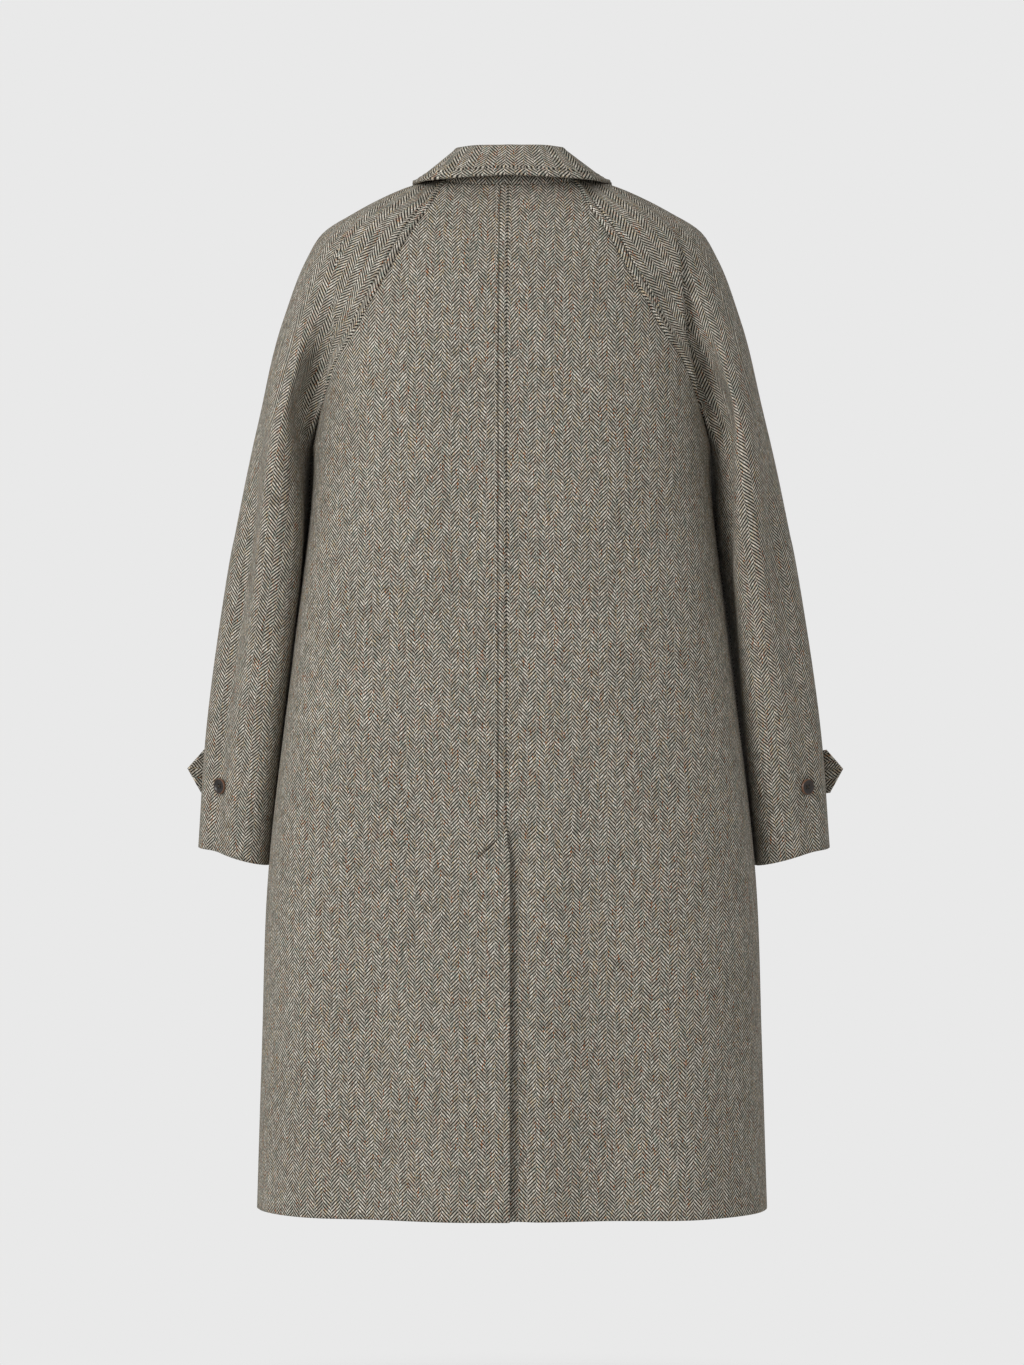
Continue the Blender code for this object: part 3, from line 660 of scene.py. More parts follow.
def sew(panels):
    """Give panels that share seam points one thickness direction there, then part their edges."""
    meetings = {}
    for name, panel in panels.items():
        for i, j in zip(*np.nonzero(panel.used & (np.abs(panel.inward()).sum(axis=2) > 0))):
            key = tuple(np.round(panel.points[i, j], SEAM_DIGITS))
            meetings.setdefault(key, []).append((name, i, j))
    pulls = {name: panel.inward() for name, panel in panels.items()}
    for members in meetings.values():
        if len({name for name, _, _ in members}) < 2:
            continue
        mean = sum(panels[name].normals[i, j] for name, i, j in members) / len(members)
        facing = 1 - np.linalg.norm(mean)
        mean = unit(mean + FOLD_DOWN * facing)
        for name, i, j in members:
            panel = panels[name]
            apart = panel.normals[i, j] * FACING_GAP * facing
            panel.points[i, j] += pulls[name][i, j] * SEAM_GAP / 2 - apart
            panel.normals[i, j] = mean
            panel.sewn[i, j] = True


def seam_relief(away, welt, depth=DITCH):
    """Height of the cloth beside a seam: a ditch and, where topstitched, a welt and the stitches' dip."""
    ditch = -depth * hump(away, 0.0, DITCH_WIDTH)
    rise = WELT * ease(away / WELT_START) * (1 - ease((away - STITCH_AT) / STITCH_FADE))
    dip = -STITCH_DIP * hump(away, STITCH_AT, STITCH_WIDTH)
    return ditch + welt * (rise + dip)


def edge_relief(away, at=STITCH_AT):
    """Height of the cloth beside a free topstitched edge."""
    rise = EDGE_WELT * WELT * (1 - ease((away - at) / STITCH_FADE))
    return rise - STITCH_DIP * hump(away, at, STITCH_WIDTH)


def creases(panel, rows):
    """Soft creases: each row gives two ends across and up, half width and rise (+) or hollow (-)."""
    place = panel.points[:, :, [0, 2]]
    total = np.zeros(place.shape[:2])
    for x0, z0, x1, z1, half, rise in rows:
        start = np.array([x0, z0])
        way = np.array([x1, z1]) - start
        share = np.clip(((place - start) @ way) / (way @ way), 0.0, 1.0)
        away = np.linalg.norm(place - start - share[:, :, None] * way, axis=2)
        total += rise * hump(away, 0.0, half, CREASE_SHARPNESS) * (1 - (2 * share - 1) ** 4 * CREASE_TAPER)
    return total


def lap_sink(x, edge, short=0.0):
    """How far an underlapping panel lies inside the one that covers it; short makes it come up sooner."""
    over = LAP_EASE + (LAP_EASE_SHORT - LAP_EASE) * short
    return LAP_SINK * (1 - ease((x - edge - LAP_LEVEL * (1 - short)) / over))


def lap_line(start, end, height, at_back, count=LAP_COLUMNS):
    """Row of a lap past a centre line, on the body's surface."""
    x = np.linspace(start, end, count + 1)
    heights = np.broadcast_to(height, x.shape)
    return np.stack([x, surface_depth(x, heights, at_back), heights], axis=1)


def body_weave(line, climb, zero):
    """Weave places of a row: distance round the body from its centre line, and height up the cloth."""
    run = lengths(line[:, :2])
    return np.stack([run - np.interp(zero, np.arange(len(run)), run), climb(line[:, 2])], axis=1)


# Creases of the body: two ends, half width, and rise (+) or hollow (-)
CREASE_SHARPNESS = 1.5
CREASE_TAPER = 0.5
CREASE_FADE = 0.03
CREASE_FADE_EDGE = 0.09
BACK_CREASES = (
    # x0, z0, x1, z1, half_width, rise
    (-0.150, -0.330, -0.060, -0.470, 0.030, -0.0022),
    (0.140, -0.320, 0.075, -0.450, 0.030, -0.0020),
    (-0.185, -0.480, -0.120, -0.700, 0.030, 0.0022),
    (0.165, -0.460, 0.140, -0.720, 0.032, -0.0024),
    (0.060, -0.500, 0.050, -0.760, 0.034, 0.0016),
    (-0.060, -0.560, -0.085, -0.860, 0.034, -0.0018),
)


def back_fade(panel):
    """Share of a back's creases that is left near its side and its top."""
    return ease(panel.from_last / CREASE_FADE) * ease(panel.from_top / CREASE_FADE)


def build_backs(panels):
    """Two backs; below the vent's top the left one covers an underlap of the right one."""
    climb = profile_run(True)
    edges = VENT_EDGE * ease((VENT_TOP - HEIGHTS) / VENT_OPENS_OVER)
    count = len(HEIGHTS)
    points = []
    weave = []
    for i, line in enumerate(back_lines(-1)):
        lead = 0
        if i < count and edges[i] > VENT_EDGE_LEAST:
            lap = lap_line(edges[i], 0.0, HEIGHTS[i], True, VENT_EDGE_COLUMNS)[:-1]
            lead = len(lap)
            line = np.concatenate([lap, line])
        run = lengths(line)
        places = graded(run[-1], CENTRE_EDGE, EDGE, BACK_MIDDLE)
        points.append(placed(line, run, places))
        weave.append(placed(body_weave(line, climb, lead), run, places))
    left = Panel(points, weave, -1)
    joined = ease((left.points[:, :1, 2] - VENT_TOP) / CENTRE_JOINS_OVER)
    left.worked += joined * seam_relief(left.from_first, 1.0, CENTRE_DITCH)
    left.worked += seam_relief(left.from_last, 0.0)
    left.relief += creases(left, BACK_CREASES) * back_fade(left)
    left.worked += creases(left, [(*VENT_BAR[0], *VENT_BAR[1], BAR_WIDTH, -BAR_DIP)])
    lifted = ease((VENT_TOP - left.points[:, :, 2]) / VENT_LIFT_OVER)
    left.relief += VENT_LIFT * lifted * (1 - ease(left.from_first / VENT_LIFT_REACH))
    panels["back_left"] = left

    points = []
    weave = []
    for i, line in enumerate(back_lines(1)):
        height = HEIGHTS[i] if i < count else line[0, 2]
        lap = lap_line(-VENT_UNDERLAP, 0.0, height, True)
        run = lengths(line)
        places = graded(run[-1], CENTRE_EDGE, EDGE, BACK_MIDDLE)
        points.append(np.concatenate([lap[:-1], placed(line, run, places)]))
        lap_weave = np.stack([lap[:-1, 0], np.full(LAP_COLUMNS, climb(height))], axis=1)
        weave.append(np.concatenate([lap_weave, placed(body_weave(line, climb, 0), run, places)]))
    points = np.array(points)
    sunk = ease((VENT_TOP + VENT_SINK_FROM - points[:, :, 2]) / VENT_SINK_OVER)
    points[:, :, 1] += VENT_SINK * lap_sink(points[:, :, 0], VENT_EDGE) * sunk
    cells = np.ones((points.shape[0] - 1, points.shape[1] - 1), bool)
    open_rows = int(np.searchsorted(HEIGHTS, VENT_TOP - UNDERLAP_BELOW))
    cells[open_rows:, :LAP_COLUMNS] = False
    right = Panel(points, weave, 1, cells=cells)
    from_centre = right.from_first - right.from_first[:, LAP_COLUMNS:LAP_COLUMNS + 1]
    joined = ease((right.points[:, :1, 2] - VENT_TOP) / CENTRE_JOINS_OVER)
    right.worked += joined * seam_relief(np.maximum(from_centre, 0.0), 0.0, CENTRE_DITCH)
    right.worked += seam_relief(right.from_last, 0.0)
    right.relief += creases(right, BACK_CREASES) * back_fade(right)
    panels["back_right"] = right


FRONT_CREASES = {
    "left": (
        # x0, z0, x1, z1, half_width, rise
        (-0.150, -0.310, -0.070, -0.460, 0.030, -0.0024),
        (-0.120, -0.520, -0.150, -0.780, 0.034, 0.0022),
        (-0.060, -0.620, -0.070, -0.940, 0.034, -0.0018),
    ),
    "right": (
        (0.145, -0.320, 0.080, -0.440, 0.030, -0.0022),
        (0.110, -0.500, 0.150, -0.740, 0.034, 0.0020),
        (0.085, -0.660, 0.080, -0.960, 0.034, -0.0020),
    ),
}


def near_neck(height):
    """How near a height of the front is to its neck, from 0 to 1."""
    return ease((height - FRONT_NECK + LAP_DROP_OVER) / LAP_DROP_OVER)


def build_fronts(panels):
    """Two fronts that lap past centre front, left over right."""
    climb = profile_run(False)
    for hand, side in HANDS:
        points = []
        weave = []
        for line in front_lines(hand):
            height = line[-1, 2]
            lap = lap_line(0.0, -hand * FRONT_LAP, height, False)[1:]
            lap[:, 2] -= LAP_DROP * near_neck(height) * np.linspace(0.0, 1.0, LAP_COLUMNS + 1)[1:]
            lap[:, 1] = surface_depth(lap[:, 0], lap[:, 2], False)
            centre = len(line) - 1
            line = np.concatenate([line, lap])
            run = lengths(line)
            places = graded(run[-1], EDGE, EDGE, FRONT_MIDDLE)
            points.append(placed(line, run, places))
            weave.append(placed(body_weave(line, climb, centre), run, places))
        points = np.array(points)
        if side == "right":
            points[:, :, 1] -= lap_sink(points[:, :, 0], FRONT_LAP, near_neck(points[:, :, 2]))
        front = Panel(points, weave, hand)
        front.worked += seam_relief(front.from_first, 0.0) + edge_relief(front.from_last)
        fade = ease(front.from_first / CREASE_FADE) * ease(front.from_top / CREASE_FADE)
        fade = fade * ease(front.from_last / CREASE_FADE_EDGE)
        front.relief += creases(front, FRONT_CREASES[side]) * fade
        panels["front_" + side] = front


# Creases of the right sleeve, mirrored on the left
SLEEVE_CREASES = {
    "back": (
        # x0, z0, x1, z1, half_width, rise
        (0.268, -0.330, 0.285, -0.560, 0.012, -0.0022),
        (0.293, -0.380, 0.310, -0.600, 0.012, 0.0014),
        (0.236, -0.300, 0.268, -0.420, 0.014, 0.0016),
        (0.262, -0.600, 0.285, -0.700, 0.012, 0.0012),
    ),
    "front": (
        (0.262, -0.340, 0.280, -0.540, 0.013, -0.0022),
        (0.240, -0.400, 0.296, -0.450, 0.014, -0.0020),
        (0.246, -0.440, 0.300, -0.490, 0.014, 0.0018),
    ),
}
SLEEVE_CREASE_FADE = 0.025

# Fold of the sleeve head beside the raglan seam: place, and how far the sleeve drops behind its edge
SLEEVE_FOLD = (
    # x, z, drop
    (0.1740, -0.045, 0.0000),
    (0.1790, -0.072, 0.0045),
    (0.1835, -0.125, 0.0095),
    (0.1885, -0.173, 0.0120),
    (0.1990, -0.226, 0.0110),
    (0.2060, -0.300, 0.0000),
)
FOLD_SEAM = 0.004
FOLD_STEP = 0.0035
FOLD_REACH = 0.017
FOLD_LIP = 0.18
FOLD_LIP_REACH = 0.010
FOLD_PARTS = 0.0035
FOLD_FADE_SEAM = 0.006
FOLD_FADE_OVERARM = 0.012
FOLD_DEPTH = {"left": 0.45, "right": 1.35}

# Grain of the sleeve: where along the head it turns from the raglan seam's direction to the arm's
GRAIN_TURN = {"back": (0.38, 0.82), "front": (0.22, 0.60)}
GRAIN_SEAM = 0.045
GRAIN_SMOOTHING = 6
GRAIN_PASSES = 900
GRAIN_PARTED = 0.01
GRAIN_ARM_FROM = 0.70
GRAIN_ARM_EASE = 0.08
GRAIN_ARM_ALL = 0.82

# Backs of the sleeves, by place below the underarm: hollow beside the body, and turn of the face outwards
SLEEVE_BACK = {
    "left": (
        # along, hollow, hollow_away, inner_rise, outer_fall
        (-0.30, 0.000, 0.020, 0.000, 0.000),
        (-0.12, 0.003, 0.030, 0.000, 0.002),
        (0.00, 0.005, 0.050, 0.003, 0.008),
        (0.15, 0.002, 0.050, 0.008, 0.013),
        (0.35, 0.000, 0.050, 0.013, 0.015),
        (0.75, 0.000, 0.046, 0.014, 0.014),
        (1.00, 0.000, 0.042, 0.012, 0.008),
    ),
    "right": (
        (-0.30, 0.000, 0.020, 0.000, 0.000),
        (-0.12, 0.006, 0.030, 0.000, 0.002),
        (0.00, 0.015, 0.050, 0.002, 0.004),
        (0.15, 0.019, 0.050, 0.003, 0.007),
        (0.35, 0.009, 0.050, 0.005, 0.009),
        (0.60, 0.002, 0.046, 0.008, 0.009),
        (1.00, 0.000, 0.042, 0.008, 0.005),
    ),
}
HOLLOW_REACH = 0.024
HOLLOW_SEAM = 0.010
sleeve_backs = {side: table(rows) for side, rows in SLEEVE_BACK.items()}

# Where across the sleeve's back it rises or falls, and half that place's width, as shares of the whole
INNER_RISE = (0.36, 0.12)
OUTER_FALL = (0.67, 0.11)

# Rows on both sides of the underarm over which the head flows into the arm
KINK_ROWS = 9
KINK_PASSES = 24
KINK_HOLD = 0.012


def fold_place(points):
    """How far each point of the right sleeve's back lies past the fold's edge, and the fold's drop there."""
    fold = through(SLEEVE_FOLD)[::-1]
    seam = points[TUBE_ROWS:, 0]
    heights = points[:, :, 2]
    edge = np.interp(heights, fold[:, 1], fold[:, 0])
    beside = np.interp(heights, seam[:, 2], seam[:, 0]) + FOLD_SEAM
    drop = np.interp(heights, fold[:, 1], fold[:, 2], left=0.0, right=0.0)
    return points[:, :, 0] - np.maximum(edge, beside), np.maximum(drop, 0.0)


def sleeve_fold(away, drop):
    """Height of the fold beside the back raglan seam: a lip, a step down and a slow rise to the arm."""
    step = ease(away / FOLD_STEP + 0.5)
    hollow = -step * np.exp(-np.maximum(away, 0.0) / FOLD_REACH)
    lip = FOLD_LIP * (1 - step) * hump(np.minimum(away, 0.0), 0.0, FOLD_LIP_REACH)
    return drop * (hollow + lip)


def arm_form(side, alongs, raglan, over):
    """Height of a sleeve's back over its plain form: hollow beside the body, turned outwards beyond."""
    hollow, hollow_away, rise, fall = (column[:, None] for column in sleeve_backs[side](alongs).T)
    share = raglan / (raglan + over)
    form = -hollow * hump(raglan, hollow_away, HOLLOW_REACH) * ease(raglan / HOLLOW_SEAM)
    return form + rise * hump(share, *INNER_RISE) - fall * hump(share, *OUTER_FALL)


def flowing(points, seam_away):
    """Sleeve points whose rows flow from the head into the arm, with the seam's side held."""
    rows = np.abs(np.arange(len(points)) - TUBE_ROWS) / KINK_ROWS
    weight = ((1 - ease(rows))[:, None] * ease(seam_away / KINK_HOLD))[:, :, None]
    for _ in range(KINK_PASSES):
        points = points + (smoothed(points) - points) * weight
    return points


def fitted_weave(points, normals, ways, start, past, parted):
    """Weave places of a panel whose grain runs along given ways, at true scale as nearly as the form allows.

    Where it is parted, the weave breaks along the edge that the places past a fold begin at."""
    along = unit(ways - normals * np.sum(ways * normals, axis=2, keepdims=True))
    frame_ways = np.stack([np.cross(along, normals), along], axis=3)
    runs = []
    for axis in (0, 1):
        step = np.diff(points, axis=axis)
        places = np.arange(step.shape[axis])
        low = np.take(frame_ways, places, axis=axis)
        high = np.take(frame_ways, places + 1, axis=axis)
        runs.append(np.einsum("ijk,ijkl->ijl", step, (low + high) / 2))
    tall = np.linalg.norm(np.diff(points, axis=0), axis=2)
    wide = np.linalg.norm(np.diff(points, axis=1), axis=2)
    tall_mean = np.pad((tall[1:] + tall[:-1]) / 2, ((1, 1), (0, 0)), mode="edge")
    wide_mean = np.pad((wide[:, 1:] + wide[:, :-1]) / 2, ((0, 0), (1, 1)), mode="edge")
    weigh_up = ((wide_mean[1:] + wide_mean[:-1]) / 2 / np.maximum(tall, 1e-6))[:, :, None]
    weigh_across = ((tall_mean[:, 1:] + tall_mean[:, :-1]) / 2 / np.maximum(wide, 1e-6))[:, :, None]
    cut_up = (past[1:] != past[:-1]) & (parted[1:] > 0.5)
    cut_across = (past[:, 1:] != past[:, :-1]) & (parted[:, 1:] > 0.5)
    weigh_up = weigh_up * np.where(cut_up, GRAIN_PARTED, 1.0)[:, :, None]
    weigh_across = weigh_across * np.where(cut_across, GRAIN_PARTED, 1.0)[:, :, None]

    def gather(up, across):
        total = np.zeros(points.shape[:2] + (2,))
        total[1:] += up
        total[:-1] -= up
        total[:, 1:] += across
        total[:, :-1] -= across
        return total

    def spread(places):
        return gather(weigh_up * np.diff(places, axis=0), weigh_across * np.diff(places, axis=1))

    share = gather(np.zeros_like(runs[0]), np.zeros_like(runs[1]))
    share[1:] += weigh_up
    share[:-1] += weigh_up
    share[:, 1:] += weigh_across
    share[:, :-1] += weigh_across
    places = start.copy()
    rest = gather(weigh_up * runs[0], weigh_across * runs[1]) - spread(places)
    eased = rest / share
    way = eased.copy()
    size = np.sum(rest * eased, axis=(0, 1))
    for _ in range(GRAIN_PASSES):
        spread_way = spread(way)
        step = size / np.maximum(np.sum(way * spread_way, axis=(0, 1)), 1e-20)
        places += step * way
        rest -= step * spread_way
        eased = rest / share
        new_size = np.sum(rest * eased, axis=(0, 1))
        way = eased + new_size / np.maximum(size, 1e-20) * way
        size = new_size
    return places


def seam_distances(points, half):
    """Distances over a sleeve half from its raglan or inner seam, and from its overarm seam."""
    model = Panel(points, points[:, :, :2], 1)
    if half == "back":
        return model.from_first, model.from_last
    return model.from_last, model.from_first


def build_sleeves(panels):
    """Two halves for each sleeve, sewn along the overarm and the inner arm."""
    (back, front), runs = sleeve_lines()
    crests = np.array([line[-1] for line in back])
    ups = directions(crests)
    head_rows = np.arange(len(crests)) > TUBE_ROWS
    shares = np.where(head_rows, runs / lengths(cap_line)[-1], 1.0)
    alongs = np.concatenate([np.linspace(1.0, 0.0, TUBE_ROWS + 1), HEAD_SHARES - 1.0])
    for half, lines in (("back", back), ("front", front)):
        plain = []
        for line in lines:
            run = lengths(line)
            plain.append(placed(line, run, graded(run[-1], EDGE, EDGE, SLEEVE_MIDDLE)))
        plain = np.array(plain)
        plain = flowing(plain, seam_distances(plain, half)[0])
        cuff_drop = CUFF_DROP * ease((alongs - CUFF_DROP_FROM) / (1 - CUFF_DROP_FROM))
        plain = plain - ups[:, None] * cuff_drop[:, None, None]
        for hand, side in HANDS:
            points = plain
            raglan, over = seam_distances(points, half)
            past = np.zeros(raglan.shape, bool)
            parted = np.zeros(raglan.shape)
            if half == "back":
                away, drop = fold_place(points)
                past = (away > 0) | (shares > GRAIN_ARM_ALL)[:, None]
                in_arm = ease((shares - GRAIN_ARM_FROM) / GRAIN_ARM_EASE)[:, None]
                parted = np.maximum(ease(drop / FOLD_PARTS), in_arm)
                fade = ease(raglan / FOLD_FADE_SEAM) * ease(over / FOLD_FADE_OVERARM)
                lift = sleeve_fold(away, drop * FOLD_DEPTH[side]) * fade
                lift = lift + arm_form(side, alongs, raglan, over)
                points = points + grid_normals(points, 1) * lift[:, :, None]
            raglan, over = seam_distances(points, half)
            seam = points[:, 0 if half == "back" else -1]
            beside = directions(seam)
            arm = ups[TUBE_ROWS - 2]
            low, high = GRAIN_TURN[half]
            to_arm = np.broadcast_to(ease((shares - low) / (high - low))[:, None], raglan.shape)
            if half == "back":
                to_arm = to_arm * ease(raglan / GRAIN_SEAM) * (1 - parted) + past * parted
            to_arm = np.where(head_rows[:, None], to_arm, 1.0)[:, :, None]
            arm_ways = np.where(head_rows[:, None], arm, ups)[:, None]
            ways = unit(arm_ways * to_arm + beside[:, None] * (1 - to_arm))
            down = -np.broadcast_to(runs[:, None], over.shape)
            start = np.stack([over if half == "back" else -over, down], axis=2)
            parted = parted * head_rows[:, None]
            weave = fitted_weave(points, grid_normals(points, 1), ways, start, past, parted)
            mid_arm = weave[TUBE_ROWS // 2, -1 if half == "back" else 0]
            weave = weave - mid_arm + np.array([0.0, -runs[TUBE_ROWS // 2]])
            welt = ease((seam[:, 2] - WELT_FROM) / WELT_EASE)[:, None]
            panel = Panel(mirrored(points, hand), weave, hand)
            panel.worked += seam_relief(raglan, welt) + seam_relief(over, 0.0)
            rows = np.array(SLEEVE_CREASES[half]) * np.array([hand, 1, hand, 1, 1, 1])
            fade = ease(raglan / SLEEVE_CREASE_FADE) * ease(over / SLEEVE_CREASE_FADE)
            panel.relief += creases(panel, rows) * fade
            panels["sleeve_%s_%s" % (half, side)] = panel


def add_shell(name, panel, finish):
    """Close a panel into a thin shell with rounded edges and its weave map."""
    outer = panel.outer()
    inner = panel.inner()
    used = panel.used
    count = np.count_nonzero(used)
    index = -np.ones(used.shape, int)
    index[used] = np.arange(count)
    cells = panel.cells
    quads = np.stack([index[:-1, :-1], index[:-1, 1:], index[1:, 1:], index[1:, :-1]], axis=-1)[cells]
    corners = outer[used][quads]
    facing = np.cross(corners[:, 2] - corners[:, 0], corners[:, 3] - corners[:, 1])
    area = np.linalg.norm(facing, axis=1).sum() / 2
    if np.sum(facing * panel.normals[:-1, :-1][cells]) < 0:
        quads = quads[:, ::-1]
    heads = quads.ravel()
    tails = np.roll(quads, -1, axis=1).ravel()
    border = ~np.isin(heads * count + tails, tails * count + heads)
    heads, tails = heads[border], tails[border]
    pull = unit(panel.inward()) * ~panel.sewn[:, :, None]
    middle = (outer + inner) / 2 - pull * panel.wall * RIM_ROUND
    rims = np.unique(np.concatenate([heads, tails]))
    rim_index = -np.ones(count, int)
    rim_index[rims] = 2 * count + np.arange(len(rims))
    vertices = np.concatenate([outer[used], inner[used], middle[used][rims]])
    faces = np.concatenate([
        quads,
        quads[:, ::-1] + count,
        np.stack([tails, heads, rim_index[heads], rim_index[tails]], axis=1),
        np.stack([rim_index[tails], rim_index[heads], heads + count, tails + count], axis=1),
    ])
    weave = panel.weave[used] + np.array([0.0, LINE * PANEL_LINES * sum(map(ord, name))])
    turn = panel.wall * RIM_TURN
    weave = np.concatenate([weave, weave + 2 * turn, weave[rims] + turn])
    thing = add_piece(name, vertices, faces, finish, weave)
    size = np.ptp(panel.weave[used], axis=0)
    return thing, size, area


def add_object(name, data):
    """An object of the scene that shows a mesh, a light or a camera."""
    thing = bpy.data.objects.new(name, data)
    bpy.context.scene.collection.objects.link(thing)
    return thing


def worked_mesh(thing):
    """Mesh of an object after its modifiers; the object itself is taken away."""
    mesh = bpy.data.meshes.new_from_object(thing.evaluated_get(bpy.context.evaluated_depsgraph_get()))
    bpy.data.objects.remove(thing, do_unlink=True)
    return mesh


def together(shapes):
    """Vertices and faces or edges of several shapes as one."""
    vertices = []
    faces = []
    for points, outlines in shapes:
        start = len(vertices)
        vertices += [list(map(float, point)) for point in points]
        faces += [[int(v) + start for v in outline] for outline in outlines]
    return vertices, faces


def add_piece(name, vertices, faces, finish, places=None, layer="weave"):
    """A smooth mesh in the scene, with its finish and a map of places on it."""
    mesh = bpy.data.meshes.new(name + "_form")
    mesh.from_pydata([list(map(float, v)) for v in vertices], [], [list(map(int, f)) for f in faces])
    if places is not None:
        corner = np.zeros(len(mesh.loops), np.int32)
        mesh.loops.foreach_get("vertex_index", corner)
        mesh.uv_layers.new(name=layer).data.foreach_set("uv", places[corner].astype(np.float32).ravel())
    mesh.shade_smooth()
    mesh.materials.append(finish)
    return add_object(name, mesh)


def ground_of(panels):
    """Search tree over the outer points of panels, with their facings."""
    points = np.concatenate([p.outer()[p.used] for p in panels])
    facing = np.concatenate([p.normals[p.used] for p in panels])
    tree = KDTree(len(points))
    for i, point in enumerate(points):
        tree.insert(point, i)
    tree.balance()
    return tree, points, facing


def moved_clear(row, ground, clearance):
    """Points lifted off the panels under them until they stand clear of their outer faces."""
    tree, points, facing = ground
    lifted = row.copy()
    for i, point in enumerate(row):
        nearest = tree.find(point)[1]
        height = np.dot(point - points[nearest], facing[nearest])
        lifted[i] += facing[nearest] * max(0.0, clearance - height)
    return lifted


def neckline():
    """Neck seam from centre front on the left, round the back, to centre front on the right."""
    (sleeve_back, sleeve_front), _ = sleeve_lines()
    tops = [back_lines(1), sleeve_back, sleeve_front, front_lines(1)]
    right = np.concatenate([lines[-1][min(k, 1):] for k, lines in enumerate(tops)])
    run = lengths(right)
    right = placed(right, run, np.linspace(0.0, run[-1] - COLLAR_END_GAP, len(right)))
    return np.concatenate([mirrored(right[1:], -1)[::-1], right])


def build_collar(panels):
    """Stand on the neck seam, and a fall that rolls over its top and turns down outside."""
    ground = ground_of(panels.values())
    seam = spaced(neckline(), np.linspace(0.0, 1.0, COLLAR_COLUMNS + 1))
    middle = len(seam) // 2
    run = lengths(seam)
    share = np.abs(run - run[middle]) / run[middle]
    along = np.gradient(seam, axis=0)
    for _ in range(NECK_SMOOTHING):
        along = smoothed(along)
    along = unit(along)
    rise = unit(UP - STAND_LEAN * along[:, 2:] * along)
    outward = unit(np.cross(along, rise))
    toward_front = along * np.sign(np.arange(len(seam)) - middle)[:, None]
    stand, lean, edge_out, edge_up, edge_back = (column[:, None] for column in collar_row(share).T)
    level_out = unit(outward * np.array([1.0, 1.0, 0.0]))
    across = run - run[middle]
    heights = np.linspace(0.0, 1.0, STAND_ROWS + 1)
    rows = [seam + (rise * stand - level_out * lean) * t for t in heights]
    weave = [np.stack([across, stand[:, 0] * t], axis=1) for t in heights]
    panels["collar_stand"] = Panel(rows, weave, 1, COLLAR_CLOTH)
    panels["collar_stand"].normals[0] = outward
    base = seam + rise * (stand + LIE_GAP) - level_out * lean
    rows = []
    for turn in np.linspace(np.pi, ROLL_END, ROLL_ROWS):
        out = ROLL_RADIUS - COLLAR_CLOTH + ROLL_RADIUS * np.cos(turn)
        rows.append(base + outward * out + rise * ROLL_RADIUS * np.sin(turn))
    square_edge = seam + level_out * edge_out + UP * edge_up
    edge = square_edge - toward_front * edge_back
    shoulder = rows[-1]
    for t in LEAF_PLACES:
        row = shoulder * (1 - t) + edge * t + UP * LEAF_CROWN * 4 * t * (1 - t)
        for _ in range(LEAF_PASSES):
            row = smoothed(smoothed(moved_clear(row, ground, COLLAR_CLOTH + LEAF_LIFT)))
        rows.append(moved_clear(row, ground, COLLAR_CLOTH + LEAF_LIFT))
    rows = np.array(rows)
    drop = run_over(rows, 0)
    ways = np.gradient(rows, axis=0)
    ways[ROLL_ROWS:] = unit(square_edge - shoulder)
    start = np.stack([np.broadcast_to(across, drop.shape), drop], axis=2)
    unparted = np.zeros(drop.shape)
    weave = fitted_weave(rows, grid_normals(rows, -1), ways, start, unparted > 0, unparted)
    fall = Panel(rows, weave, -1, COLLAR_CLOTH)
    fall.normals[0] = -outward
    fall.worked += COLLAR_STRIP * edge_relief(fall.from_top) * ease(fall.from_low / COLLAR_STRIP_FADE)
    panels["collar_fall"] = fall


def tab_centre():
    """Right tab's centre line on the sleeve, with the directions along it, up the sleeve and out."""
    curve, _, named = sleeve_ring(TAB_ALONG)
    above = sleeve_ring(TAB_ALONG - TAB_CLIMB)
    knots = np.arange(len(named))
    places = np.linspace(TAB_FROM, TAB_TO, TAB_COLUMNS)
    path = curve(np.interp(places, knots, named))
    climb = unit(above[0](np.interp(places, knots, above[2])) - path)
    along = unit(np.gradient(path, axis=0))
    out = unit(np.cross(climb, along))
    return path, along, climb, out


